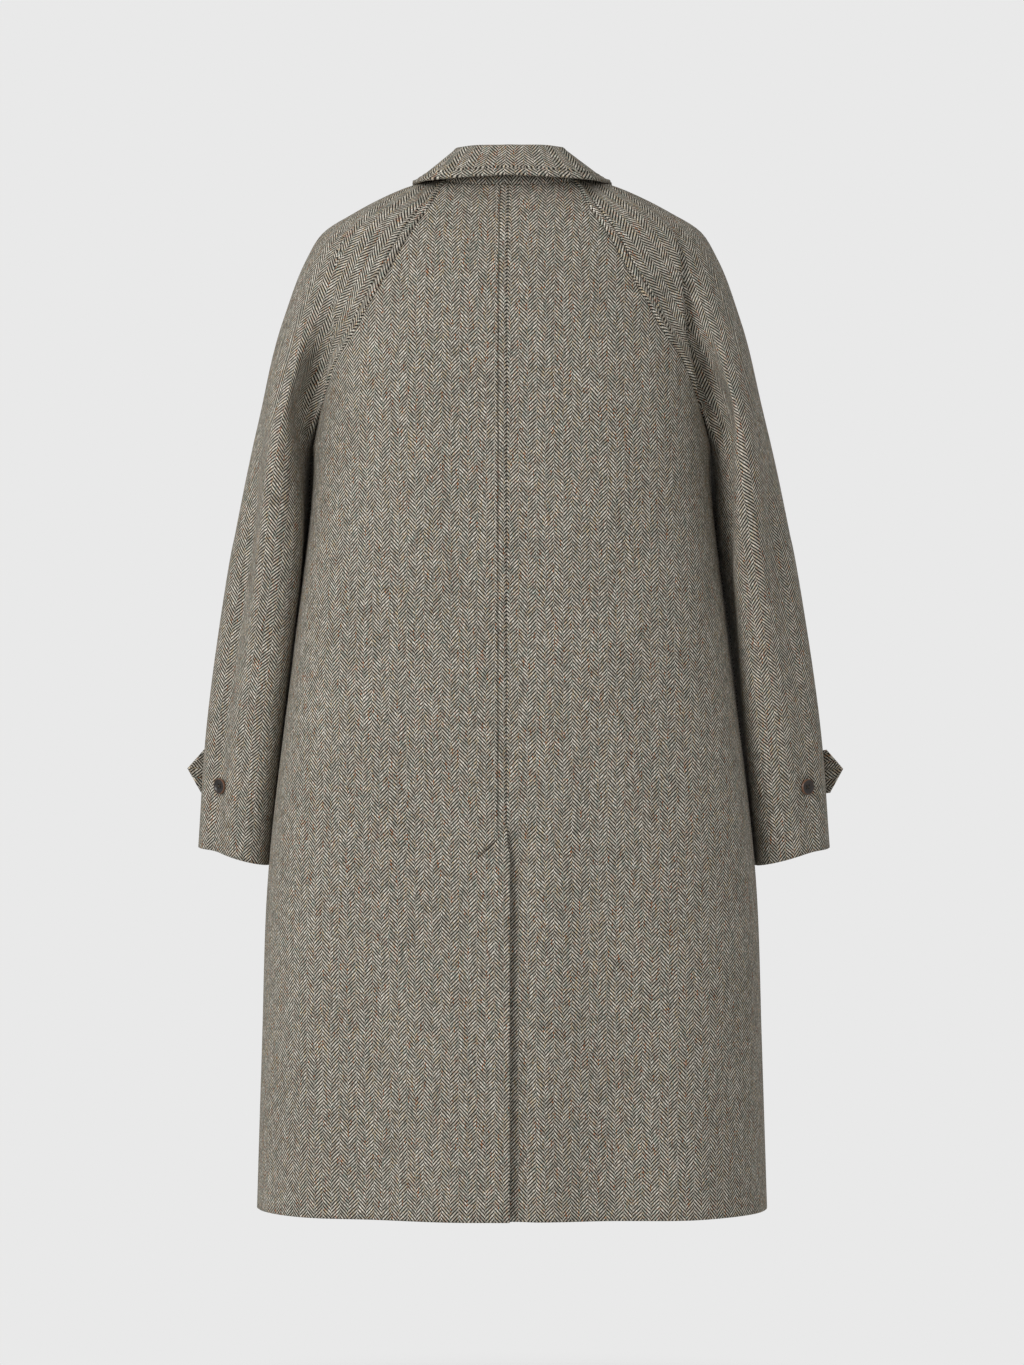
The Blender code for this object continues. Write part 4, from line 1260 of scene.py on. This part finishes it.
def build_tabs(panels):
    """Straps across the front of each sleeve, with a free pointed end that turns out past its outer side."""
    path, along, climb, out = tab_centre()
    path = path + out * (LIE_GAP + TAB_CLOTH + TAB_LIFT)
    bound = lengths(path)[-1]
    free = np.linspace(0.0, TAB_FREE, TAB_FREE_COLUMNS)[1:]
    turn = TAB_TURN * ease((free - TAB_TURN_FROM) / TAB_TURN_OVER)[:, None]
    ways = along[-1] * np.cos(turn) + out[-1] * np.sin(turn)
    path = np.concatenate([path, path[-1] + np.cumsum(ways * free[0], axis=0)])
    climb = np.concatenate([climb, np.repeat(climb[-1:], len(free), axis=0)])
    run = lengths(path)
    half = TAB_WIDTH / 2
    middle = np.linspace(-half + TAB_MIDDLE_FROM, half - TAB_MIDDLE_FROM, TAB_MIDDLE)
    widths = np.concatenate([-half + TAB_EDGE, middle, (half - TAB_EDGE)[::-1]])
    points = []
    weave = []
    for width in widths:
        reach = run[-1] - TAB_POINT * abs(width) / half
        places = run * reach / run[-1]
        row = placed(path, run, places) + placed(climb, run, places) * width
        points.append(row)
        weave.append(np.stack([np.full(len(run), width), places], axis=1))
    points = np.array(points)
    ground = ground_of([panels["sleeve_front_right"], panels["sleeve_back_right"]])
    points = np.array([moved_clear(row, ground, LIE_GAP + TAB_CLOTH) for row in points])
    for hand, side in HANDS:
        tab = Panel(mirrored(points, hand), weave, -hand, TAB_CLOTH)
        nearest = np.minimum.reduce([tab.from_low, tab.from_top, tab.from_last, tab.from_first])
        open_part = ease((tab.from_first - bound) / TAB_PINCH_OVER)
        pinch = TAB_PINCH * open_part * hump(nearest, TAB_STITCH_AT, STITCH_WIDTH)
        tab.worked += edge_relief(nearest, TAB_STITCH_AT) * (1 - TAB_OPEN_FLATTER * open_part) - pinch
        tab.relief += pinch
        panels["cuff_tab_" + side] = tab


class Value:
    """A socket whose arithmetic adds Math nodes to its tree."""

    def __init__(self, net, socket):
        self.net = net
        self.socket = socket

    def math(self, operation, *values):
        """A Math node on this tree."""
        sockets = {i: value for i, value in enumerate(values)}
        return self.net.node("ShaderNodeMath", {"operation": operation}, sockets)[0]

    def __add__(self, other):
        return self.math("ADD", self, other)

    def __sub__(self, other):
        return self.math("SUBTRACT", self, other)

    def __rsub__(self, other):
        return self.math("SUBTRACT", other, self)

    def __mul__(self, other):
        return self.math("MULTIPLY", self, other)

    def __truediv__(self, other):
        return self.math("DIVIDE", self, other)

    def floor(self):
        return self.math("FLOOR", self)

    def size(self):
        return self.math("ABSOLUTE", self)

    def pingpong(self, scale):
        return self.math("PINGPONG", self, scale)

    def modulo(self, base):
        return self.math("FLOORED_MODULO", self, base)

    def between(self, low, high):
        """0 below low, 1 above high and smooth between."""
        settings = {"interpolation_type": "SMOOTHSTEP"}
        sockets = {"Value": self, "From Min": low, "From Max": high}
        return self.net.node("ShaderNodeMapRange", settings, sockets)[0]


class Outputs:
    """A node's outputs, by name or place."""

    def __init__(self, net, node):
        self.net = net
        self.node = node

    def __getitem__(self, key):
        return Value(self.net, self.node.outputs[key])


class Net:
    """A node tree that is written as calls and arithmetic."""

    def __init__(self, tree):
        self.tree = tree

    def node(self, kind, settings=None, sockets=None):
        """A node of a kind: its settings are set first, then its sockets are given values or links."""
        node = self.tree.nodes.new(kind)
        for key, value in (settings or {}).items():
            if key == "stops":
                ramp = node.color_ramp
                while len(ramp.elements) < len(value):
                    ramp.elements.new(1.0)
                for stop, (place, colour) in zip(ramp.elements, value):
                    stop.position = place
                    stop.color = colour
            elif key == "ramp":
                node.color_ramp.interpolation = value
            else:
                setattr(node, key, value)
        self.plug(node, sockets or {})
        return Outputs(self, node)

    def plug(self, node, sockets):
        """Give a node's sockets their values or links."""
        for key, value in sockets.items():
            if isinstance(value, Value):
                self.tree.links.new(value.socket, node.inputs[key])
            else:
                node.inputs[key].default_value = value

    def noise(self, place, scale, detail, distortion=0.0):
        """Soft noise, by the scale and detail it has."""
        sockets = {"Vector": place, "Scale": scale, "Detail": detail, "Distortion": distortion}
        return self.node("ShaderNodeTexNoise", None, sockets)

    def draw(self, *spot):
        """A number drawn for each spot of three whole numbers."""
        sockets = {"Vector": self.vector(*spot)}
        return self.node("ShaderNodeTexWhiteNoise", {"noise_dimensions": "3D"}, sockets)[0]

    def vector(self, x, y, z):
        """Three values as one."""
        return self.node("ShaderNodeCombineXYZ", None, {0: x, 1: y, 2: z})[0]

    def mix(self, factor, a, b):
        """A colour between two, by a factor from 0 to 1."""
        settings = {"data_type": "RGBA", "clamp_factor": True}
        return self.node("ShaderNodeMix", settings, {0: factor, 6: a, 7: b})[2]


def srgb(red, green, blue):
    """Linear colour of screen values from 0 to 255."""
    values = np.array([red, green, blue]) / 255
    linear = np.where(values <= 0.04045, values / 12.92, ((values + 0.055) / 1.055) ** 2.4)
    return (*linear.tolist(), 1.0)


def new_finish(name):
    """A material, its node tree and its shader."""
    finish = bpy.data.materials.new(name)
    finish.use_nodes = True
    shader = finish.node_tree.nodes["Principled BSDF"]
    return finish, Net(finish.node_tree), shader


# Herringbone: a column of warp ends, the rise of a line over four picks, and its slant in lines to a column
COLUMN = 0.0092
ENDS = 10
LINE = 0.0039
PICK = LINE / 4
SLANT = ENDS / 4
COLUMN_START = 0.0030
WARP_RUN = 0.0065
WEFT_RUN = 0.0080
WARP_STEP = 0.381
WARP_DRAW = 3.0
WEFT_STEP = 0.618
WEFT_DRAW = 7.0
FLOAT_ENDS = 3.0

# Where the cream warp covers the dark weft, how the lines wander, how fuzz and clouds vary the cloth's tone,
# and how much painted shade darkens the round sides of each warp end
WARP_COVERS = (0.44, 0.60)
WARP_ROUND = 0.10
DRIFT_SCALE = 34.0
DRIFT_ACROSS = 0.0024
DRIFT_UP = 0.0030
FUZZ_SCALE = 1700.0
FUZZ_COVERS = 0.22
FUZZ_SHADES = 0.5
CLOUD_SCALE = 11.0
CLOUD_SHADES = 0.24
FLOAT_SHADES = 0.54
END_PAINTED_SHADE = 0.16
BRIGHTNESS = 1.08
BUMP_ROUND = 0.4
BUMP_WARP = 0.7
BUMP_FUZZ = 0.7
BUMP_DEPTH = 0.0006
CREAMS = (
    # share from which the colour holds, colour
    (0.00, srgb(194, 187, 173)),
    (0.26, srgb(176, 170, 157)),
    (0.46, srgb(212, 206, 194)),
    (0.64, srgb(188, 176, 160)),
    (0.76, srgb(170, 173, 160)),
    (0.87, srgb(192, 176, 148)),
    (0.955, srgb(184, 158, 142)),
    (0.988, srgb(176, 128, 98)),
)
DARKS = (
    # share from which the colour holds, colour
    (0.00, srgb(36, 32, 27)),
    (0.34, srgb(28, 26, 23)),
    (0.62, srgb(44, 39, 33)),
    (0.80, srgb(34, 39, 36)),
    (0.94, srgb(66, 49, 37)),
    (0.965, srgb(44, 58, 58)),
    (0.990, srgb(90, 58, 40)),
)


def tweed_finish():
    """Herringbone tweed: cream warp floats over a dark weft, turning at each column, with flecks."""
    finish, net, shader = new_finish("herringbone_tweed")
    place = net.node("ShaderNodeUVMap", {"uv_map": "weave"})[0]
    drift = net.noise(place, DRIFT_SCALE, 1.0)["Color"]
    parts = net.node("ShaderNodeSeparateXYZ", None, {0: place})
    drifts = net.node("ShaderNodeSeparateXYZ", None, {0: drift})
    u = parts[0] + (drifts[0] - 0.5) * DRIFT_ACROSS
    v = parts[1] + (drifts[1] - 0.5) * DRIFT_UP
    column = (u - COLUMN_START) / COLUMN
    number = column.floor()
    ends = column.pingpong(1.0) * ENDS
    end = ends.floor()
    across = (ends - end) * 2.0 - 1.0
    lift = v / LINE - (end + 0.5) * (SLANT / ENDS) + number.modulo(2.0) * 0.5
    line = lift.floor()
    swell = 1.0 - ((lift - line) * 2.0 - 1.0).size()
    bulge = across * across
    warp = (swell - bulge * WARP_ROUND).between(*WARP_COVERS)
    yarn = number * ENDS + end
    warp_draw = net.draw(yarn, (v / WARP_RUN + yarn * WARP_STEP).floor(), WARP_DRAW)
    pick = (v / PICK).floor()
    weft_draw = net.draw(pick, (u / WEFT_RUN + pick * WEFT_STEP).floor(), WEFT_DRAW)
    tone = net.draw(line, number, (end / FLOAT_ENDS).floor())
    creams = net.node("ShaderNodeValToRGB", {"ramp": "CONSTANT", "stops": CREAMS}, {0: warp_draw})[0]
    darks = net.node("ShaderNodeValToRGB", {"ramp": "CONSTANT", "stops": DARKS}, {0: weft_draw})[0]
    fuzz = net.noise(place, FUZZ_SCALE, 2.0)[0]
    cloud = net.noise(place, CLOUD_SCALE, 3.0)[0]
    cloth = net.mix(warp + (fuzz - 0.5) * FUZZ_COVERS, darks, creams)
    shade = (tone - 0.5) * FLOAT_SHADES + (fuzz - 0.5) * FUZZ_SHADES + (cloud - 0.5) * CLOUD_SHADES
    # Painted shade: each warp end is darker towards its two sides, as if its round yarn turned away from the
    # light.
    shade = shade + (BRIGHTNESS - bulge * END_PAINTED_SHADE)
    shaded = net.node("ShaderNodeVectorMath", {"operation": "SCALE"}, {0: cloth, "Scale": shade})[0]
    height = warp * (swell - bulge * BUMP_ROUND) * BUMP_WARP + fuzz * BUMP_FUZZ
    sockets = {"Height": height, "Strength": 0.5, "Distance": BUMP_DEPTH}
    net.plug(shader, {
        "Base Color": shaded,
        "Normal": net.node("ShaderNodeBump", None, sockets)[0],
        "Roughness": 0.95,
        "Specular IOR Level": 0.10,
        "Sheen Weight": 0.04,
        "Sheen Roughness": 0.5,
        "Sheen Tint": srgb(236, 228, 214),
    })
    return finish


# Noise scales of thread and horn, and where the horn's streaks and the painted light on its side wall begin
# and end
THREAD_TWIST = 900.0
HORN_STREAKS = 260.0
HORN_STREAK_BENDS = 1.2
HORN_STREAK_SHOWS = (0.45, 0.75)
HORN_PAINTED_LIGHT_FROM = (0.80, 0.97)


def thread_finish():
    """Waxed sewing thread, dark taupe with a slight twist in tone."""
    finish, net, shader = new_finish("taupe_thread")
    place = net.node("ShaderNodeTexCoord")["Object"]
    twist = net.noise(place, THREAD_TWIST, 1.0)[0]
    colour = net.mix(twist, srgb(44, 38, 31), srgb(82, 70, 56))
    net.plug(shader, {"Base Color": colour, "Roughness": 0.75})
    return finish


def horn_finish():
    """Polished dark horn: near black on its face, with painted light on its side wall, brown all round as if
    lit through the rim.
    """
    finish, net, shader = new_finish("dark_horn")
    turning = net.node("ShaderNodeUVMap", {"uv_map": "turning"})[0]
    reach = net.node("ShaderNodeSeparateXYZ", None, {0: turning})[0]
    place = net.node("ShaderNodeTexCoord")["Object"]
    streak = net.noise(place, HORN_STREAKS, 3.0, HORN_STREAK_BENDS)[0]
    face = net.mix(streak.between(*HORN_STREAK_SHOWS), srgb(24, 21, 19), srgb(58, 42, 31))
    # Painted light: the side wall is coloured brown all round, standing in for light showing through the
    # horn's rim.
    side = net.mix(streak, srgb(78, 53, 38), srgb(124, 86, 62))
    colour = net.mix(reach.between(*HORN_PAINTED_LIGHT_FROM), face, side)
    rough = streak * 0.15 + 0.36
    net.plug(shader, {"Base Color": colour, "Roughness": rough, "Coat Weight": 0.2, "Coat Roughness": 0.25})
    return finish


# A stitch before it is drawn out to its length and thickness
BEAD = {"Segments": 6, "Rings": 5, "Radius": 1.0}


def stitch_tree(thread):
    """Node tree that lays a run of short stitches along every path of a wire mesh."""
    tree = bpy.data.node_groups.new("stitch_run", "GeometryNodeTree")
    tree.interface.new_socket("Paths", in_out="INPUT", socket_type="NodeSocketGeometry")
    for name in ("Pitch", "Length", "Radius"):
        tree.interface.new_socket(name, in_out="INPUT", socket_type="NodeSocketFloat")
    tree.interface.new_socket("Stitches", in_out="OUTPUT", socket_type="NodeSocketGeometry")
    net = Net(tree)
    given = net.node("NodeGroupInput")
    curve = net.node("GeometryNodeMeshToCurve", None, {"Mesh": given["Paths"]})["Curve"]
    spots = {"Curve": curve, "Length": given["Pitch"]}
    dotted = net.node("GeometryNodeResampleCurve", {"mode": "LENGTH"}, spots)[0]
    way = net.node("GeometryNodeInputTangent")[0]
    turn = net.node("FunctionNodeAlignRotationToVector", {"axis": "X"}, {"Vector": way})[0]
    bead = net.node("GeometryNodeMeshUVSphere", None, BEAD)["Mesh"]
    size = net.vector(given["Length"], given["Radius"], given["Radius"])
    sockets = {"Points": dotted, "Instance": bead, "Rotation": turn, "Scale": size}
    laid = net.node("GeometryNodeInstanceOnPoints", None, sockets)[0]
    solid = net.node("GeometryNodeRealizeInstances", None, {0: laid})[0]
    smooth = net.node("GeometryNodeSetShadeSmooth", None, {0: solid})[0]
    sewn = net.node("GeometryNodeSetMaterial", None, {"Geometry": smooth, "Material": thread})[0]
    net.node("NodeGroupOutput", None, {"Stitches": sewn})
    return tree


def add_stitches(name, paths, tree, pitch=STITCH_PITCH, length=STITCH_LENGTH, radius=STITCH_RADIUS):
    """A piece of stitches along paths on the cloth."""
    shapes = [(path, [(k, k + 1) for k in range(len(path) - 1)]) for path in paths]
    wire = bpy.data.meshes.new(name + "_paths")
    wire.from_pydata(*together(shapes), [])
    carrier = add_object(name + "_paths", wire)
    modifier = carrier.modifiers.new("stitches", "NODES")
    modifier.node_group = tree
    sizes = {"Pitch": pitch, "Length": length / 2, "Radius": radius}
    for item in tree.interface.items_tree:
        if item.in_out == "INPUT" and item.name in sizes:
            modifier[item.identifier] = sizes[item.name]
    mesh = worked_mesh(carrier)
    mesh.name = name + "_form"
    return add_object(name, mesh)


def beside_edge(lines, aways):
    """Path of stitches over lines of points, at the stitches' distance from the lines' edge."""
    path = []
    for line, away in zip(lines, aways):
        order = np.argsort(away)
        path.append(placed(line[order], away[order], [STITCH_AT])[0])
    return np.array(path)


def stitch_paths(panels):
    """Runs of topstitching on the body, sleeves and fronts."""
    left = panels["back_left"]
    joined = left.points[:, 0, 2] > VENT_TOP - CENTRE_STITCH_PAST
    paths = [beside_edge(left.outer()[joined], left.from_first[joined])]
    for _, side in HANDS:
        for half in ("back", "front"):
            panel = panels["sleeve_%s_%s" % (half, side)]
            away = panel.from_first if half == "back" else panel.from_last
            seam = panel.points[:, 0 if half == "back" else -1, 2]
            welted = seam > WELT_FROM + WELT_EASE
            paths.append(beside_edge(panel.outer()[welted], away[welted]))
        front = panels["front_" + side]
        paths.append(beside_edge(front.outer()[1:-1], front.from_last[1:-1]))
    return paths


def bar_path(panel):
    """Slanting bar of stitches that holds the vent's top."""
    ends = np.array(VENT_BAR)
    outer = panel.outer()
    path = []
    for t in np.linspace(0.0, 1.0, BAR_STEPS):
        x, z = ends[0] * (1 - t) + ends[1] * t
        away = ((outer[:, :, 0] - x) ** 2 + (outer[:, :, 2] - z) ** 2).ravel()
        near = np.argsort(away)[:BAR_NEIGHBOURS]
        depth = np.average(outer.reshape(-1, 3)[near, 1], weights=1 / (away[near] + 1e-9))
        path.append((x, depth - BAR_RADIUS / 2, z))
    return np.array(path)


def collar_path(panel):
    """Run of stitches along the edge of the collar's fall."""
    ends = slice(COLLAR_STITCH_ENDS, -COLLAR_STITCH_ENDS)
    return beside_edge(panel.outer().swapaxes(0, 1)[ends], panel.from_top.T[ends])


def tab_path(panel, face, start):
    """Run round a tab's point, a stitch's distance inside its edge, from a column on."""
    half = TAB_WIDTH / 2
    widths = panel.weave[:, 0, 0]
    columns = range(start, face.shape[1] - TAB_STITCH_STOPS)
    low = np.array([placed(face[:, j], widths, [-half + TAB_STITCH_AT])[0] for j in columns])
    high = np.array([placed(face[:, j], widths, [half - TAB_STITCH_AT])[0] for j in columns])
    middle = len(widths) // 2
    tip_at = panel.from_first.max() - TAB_STITCH_AT * TAB_STITCH_TIP
    tip = placed(face[middle], panel.from_first[middle], [tip_at])
    return np.concatenate([low, tip, high[::-1]])


BUTTON_PROFILE = (
    # share of radius, share of thickness
    (0.00, 0.02),
    (0.70, 0.02),
    (0.86, 0.12),
    (0.97, 0.34),
    (1.00, 0.55),
    (0.985, 0.78),
    (0.93, 0.95),
    (0.86, 1.00),
    (0.79, 0.97),
    (0.72, 0.86),
    (0.66, 0.74),
    (0.58, 0.66),
    (0.40, 0.62),
    (0.00, 0.60),
)
BUTTON_THICK = 0.0038
BUTTON_SIDES = 48
BUTTON_SHARP = np.radians(35.0)
HOLE_AT = 0.28
HOLE_RADIUS = 0.00085
HOLE_SIDES = 14
THREAD_RADIUS = 0.00042
THREAD_LIFTS = (0.0004, 0.0008)
THREAD_STEPS = 13
THREAD_BEND = 6
THREAD_FROM = 0.4
SMALL_BUTTON = 0.0085
COAT_BUTTON = 0.0120
FRONT_BUTTONS = 4


def turned(profile, sides):
    """Vertices and faces of a closed turned shape about Z."""
    vertices = [(0.0, 0.0, profile[0][1])]
    for radius, height in profile[1:-1]:
        for turn in np.linspace(0.0, 2 * np.pi, sides, endpoint=False):
            vertices.append((radius * np.cos(turn), radius * np.sin(turn), height))
    vertices.append((0.0, 0.0, profile[-1][1]))
    faces = []
    loops = len(profile) - 2
    last = len(vertices) - 1
    for k in range(sides):
        n = (k + 1) % sides
        faces.append([0, 1 + n, 1 + k])
        for loop in range(loops - 1):
            low = 1 + loop * sides
            faces.append([low + k, low + n, low + sides + n, low + sides + k])
        top = 1 + (loops - 1) * sides
        faces.append([last, top + k, top + n])
    return vertices, faces


def tube(path, radius, sides=8):
    """Vertices and faces of a closed round thread along a path."""
    path = np.asarray(path, float)
    along = unit(np.gradient(path, axis=0))
    side = unit(np.cross(along, UP + 1e-3))
    top = np.cross(side, along)
    vertices = []
    for i in range(len(path)):
        for turn in np.linspace(0.0, 2 * np.pi, sides, endpoint=False):
            vertices.append(path[i] + radius * (side[i] * np.cos(turn) + top[i] * np.sin(turn)))
    faces = []
    for i in range(len(path) - 1):
        for k in range(sides):
            n = (k + 1) % sides
            faces.append([i * sides + k, i * sides + n, (i + 1) * sides + n, (i + 1) * sides + k])
    faces.append(list(range(sides))[::-1])
    faces.append([(len(path) - 1) * sides + k for k in range(sides)])
    return vertices, faces


def button_blank(radius, finish):
    """Mesh of a four-hole button about Z."""
    profile = [(share * radius, height * BUTTON_THICK) for share, height in BUTTON_PROFILE]
    blank = add_piece("button_blank", *turned(profile, BUTTON_SIDES), finish)
    low = -BUTTON_THICK
    high = 2 * BUTTON_THICK
    vertices, faces = turned([(0.0, low), (HOLE_RADIUS, low), (HOLE_RADIUS, high), (0.0, high)], HOLE_SIDES)
    holes = [(np.array(vertices) + spot, faces) for spot in hole_spots(radius)]
    drill = add_piece("button_drill", *together(holes), finish)
    cut = blank.modifiers.new("holes", "BOOLEAN")
    cut.object = drill
    cut.solver = "EXACT"
    mesh = worked_mesh(blank)
    bpy.data.objects.remove(drill, do_unlink=True)
    return mesh


def hole_spots(radius):
    """Places of a button's four holes."""
    turns = np.pi / 4 + np.arange(4) * np.pi / 2
    return np.stack([np.cos(turns), np.sin(turns), turns * 0], axis=1) * HOLE_AT * radius


def button_thread(radius):
    """Two crossing loops of thread over the middle of a button."""
    spots = hole_spots(radius)
    dish = BUTTON_THICK * BUTTON_PROFILE[-1][1]
    share = np.linspace(0.0, 1.0, THREAD_STEPS)
    arch = np.minimum(1.0, THREAD_BEND * np.minimum(share, 1 - share))
    shapes = []
    for k, lift in enumerate(THREAD_LIFTS):
        height = dish * THREAD_FROM + (dish * (1 - THREAD_FROM) + lift) * ease(arch)
        path = spots[k] + (spots[k + 2] - spots[k]) * share[:, None] + UP * height[:, None]
        shapes.append(tube(path, THREAD_RADIUS))
    return shapes


def facing_of(points, out):
    """Middle of a flat round solid and its axis, turned to the outside."""
    middle = (points.min(axis=0) + points.max(axis=0)) / 2
    axis = np.linalg.svd(points - points.mean(axis=0), full_matrices=False)[2][2]
    return middle, axis * np.sign(np.dot(axis, out))


def add_button(name, mesh, radius, seat, axis, finishes):
    """A button on its seat, with the thread that holds it."""
    side = unit(np.cross(axis, UP))
    turn = np.stack([side, np.cross(axis, side), axis], axis=1)
    body = ([v.co for v in mesh.vertices], [face.vertices for face in mesh.polygons])
    vertices, faces = together([body] + button_thread(radius))
    vertices = np.array(vertices)
    reach = np.hypot(vertices[:, 0], vertices[:, 1]) / radius
    places = np.stack([reach, np.arctan2(vertices[:, 1], vertices[:, 0])], axis=1)
    thing = add_piece(name, vertices @ turn.T + seat, faces, finishes[0], places, "turning")
    thing.data.materials.append(finishes[1])
    slots = np.zeros(len(faces), np.int32)
    slots[len(mesh.polygons):] = 1
    thing.data.polygons.foreach_set("material_index", slots)
    thing.data.set_sharp_from_angle(angle=BUTTON_SHARP)
    return thing


def build_buttons(panels, finishes):
    """Buttons on the sleeve backs, the tabs and the front, each on the cloth under its solid."""
    carriers = {"cuff_button_": "sleeve_back_", "tab_button_": "cuff_tab_"}
    jobs = [(a + side, b + side, SMALL_BUTTON) for a, b in carriers.items() for _, side in HANDS]
    jobs += [("front_button_%d" % k, "front_left", COAT_BUTTON) for k in range(1, FRONT_BUTTONS + 1)]
    blanks = {radius: button_blank(radius, finishes[0]) for radius in (SMALL_BUTTON, COAT_BUTTON)}
    made = []
    for node, carrier, radius in jobs:
        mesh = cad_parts[node].data
        points = np.array([v.co for v in mesh.vertices])
        tree, ground, facing = ground_of([panels[carrier]])
        nearest = tree.find(points.mean(axis=0))[1]
        middle, axis = facing_of(points, facing[nearest])
        drop = np.dot(ground[nearest] - middle, axis)
        seat = middle + axis * (drop + LIE_GAP)
        made.append((node, add_button(node + "_horn", blanks[radius], radius, seat, axis, finishes)))
    return made


panels = {}
build_backs(panels)
build_fronts(panels)
build_sleeves(panels)
sew(panels)
build_collar(panels)
build_tabs(panels)
tweed = tweed_finish()
thread = thread_finish()
horn = horn_finish()
for name, panel in panels.items():
    piece, size, area = add_shell(name + "_cloth", panel, tweed)
    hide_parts(name)
    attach(piece, "root")
for node, piece in build_buttons(panels, (horn, thread)):
    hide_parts(node)
    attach(piece, "root")
tree = stitch_tree(thread)
stitched = {
    "seam_topstitching": stitch_paths(panels),
    "collar_topstitching": [collar_path(panels["collar_fall"])],
}
for _, side in HANDS:
    tab = panels["cuff_tab_" + side]
    under = tab.points.shape[1] - TAB_OPEN_COLUMNS
    faces = ((tab.outer(), TAB_STITCH_FROM), (tab.inner(), under))
    stitched["tab_topstitching_" + side] = [tab_path(tab, face, start) for face, start in faces]
sewn = [add_stitches(name, paths, tree) for name, paths in stitched.items()]
bar = [bar_path(panels["back_left"])]
sewn.append(add_stitches("vent_bar", bar, tree, BAR_PITCH, BAR_LENGTH, BAR_RADIUS))
for piece in sewn:
    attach(piece, "root")

# Camera, floor and light
CAMERA_AWAY = 5.0
CAMERA_TURN = np.radians(2.2)
CAMERA_HEIGHT = -0.5205
PIXEL = 0.00106
PIXELS = (1024, 1365)
SENSOR = 36.0
camera_data = bpy.data.cameras.new("camera")
camera = add_object("camera", camera_data)
camera.location = (CAMERA_AWAY * np.sin(CAMERA_TURN), -CAMERA_AWAY * np.cos(CAMERA_TURN), CAMERA_HEIGHT)
camera.rotation_euler = (np.pi / 2, 0.0, CAMERA_TURN)
camera_data.sensor_fit = "AUTO"
camera_data.sensor_width = SENSOR
camera_data.lens = SENSOR * CAMERA_AWAY / (PIXEL * PIXELS[1])
bpy.context.scene.camera = camera

PAPER = srgb(233, 233, 233)
ROOM_LIGHT = 0.67
world = bpy.data.worlds.new("studio")
bpy.context.scene.world = world
world.use_nodes = True
room = Net(world.node_tree)
seen = room.node("ShaderNodeBackground", None, {"Color": PAPER, "Strength": 1.0})[0]
given = room.node("ShaderNodeBackground", None, {"Color": PAPER, "Strength": ROOM_LIGHT})[0]
by_eye = room.node("ShaderNodeLightPath")["Is Camera Ray"]
both = room.node("ShaderNodeMixShader", None, {0: by_eye, 1: given, 2: seen})[0]
room.plug(world.node_tree.nodes["World Output"], {"Surface": both})
bpy.context.scene.view_settings.view_transform = "Standard"

LIGHTS = (
    # name, place, size, watts
    ("key", (-2.1, -3.1, 0.7), (1.3, 2.0), 88.0),
    ("fill", (2.2, -3.6, 0.4), (1.6, 2.2), 7.0),
)
LIGHT_AIM = (0.0, 0.0, -0.45)
for name, place, size, watts in LIGHTS:
    light = bpy.data.lights.new(name, "AREA")
    light.shape = "RECTANGLE"
    light.size, light.size_y = size
    light.energy = watts
    lamp = add_object(name, light)
    lamp.location = place
    lamp.rotation_euler = (Vector(LIGHT_AIM) - Vector(place)).to_track_quat("-Z", "Y").to_euler()

FLOOR_LEVEL = -1.36
FLOOR_REACH = 0.95
FLOOR_SOLID = 0.35
FLOOR_GONE = 0.98
FLOOR_SIDES = 96


def paper_finish():
    """Pale studio paper that fades into the background at its rim."""
    finish, net, shader = new_finish("pale_paper")
    place = net.node("ShaderNodeTexCoord")["Object"]
    level = net.node("ShaderNodeVectorMath", {"operation": "MULTIPLY"}, {0: place, 1: (1.0, 1.0, 0.0)})[0]
    reach = net.node("ShaderNodeVectorMath", {"operation": "LENGTH"}, {0: level})["Value"]
    fade = 1.0 - reach.between(FLOOR_SOLID, FLOOR_REACH * FLOOR_GONE)
    grain = net.noise(place, 60.0, 2.0)[0]
    colour = net.mix(grain, srgb(234, 234, 233), srgb(238, 238, 237))
    net.plug(shader, {"Base Color": colour, "Alpha": fade, "Roughness": 0.9})
    return finish


rim = np.linspace(0.0, 2 * np.pi, FLOOR_SIDES, endpoint=False)
disc = [(0.0, 0.0, FLOOR_LEVEL)]
disc += [(FLOOR_REACH * np.cos(turn), FLOOR_REACH * np.sin(turn), FLOOR_LEVEL) for turn in rim]
wedges = [(0, 1 + k, 1 + (k + 1) % FLOOR_SIDES) for k in range(FLOOR_SIDES)]
floor = add_piece("floor", disc, wedges, paper_finish())
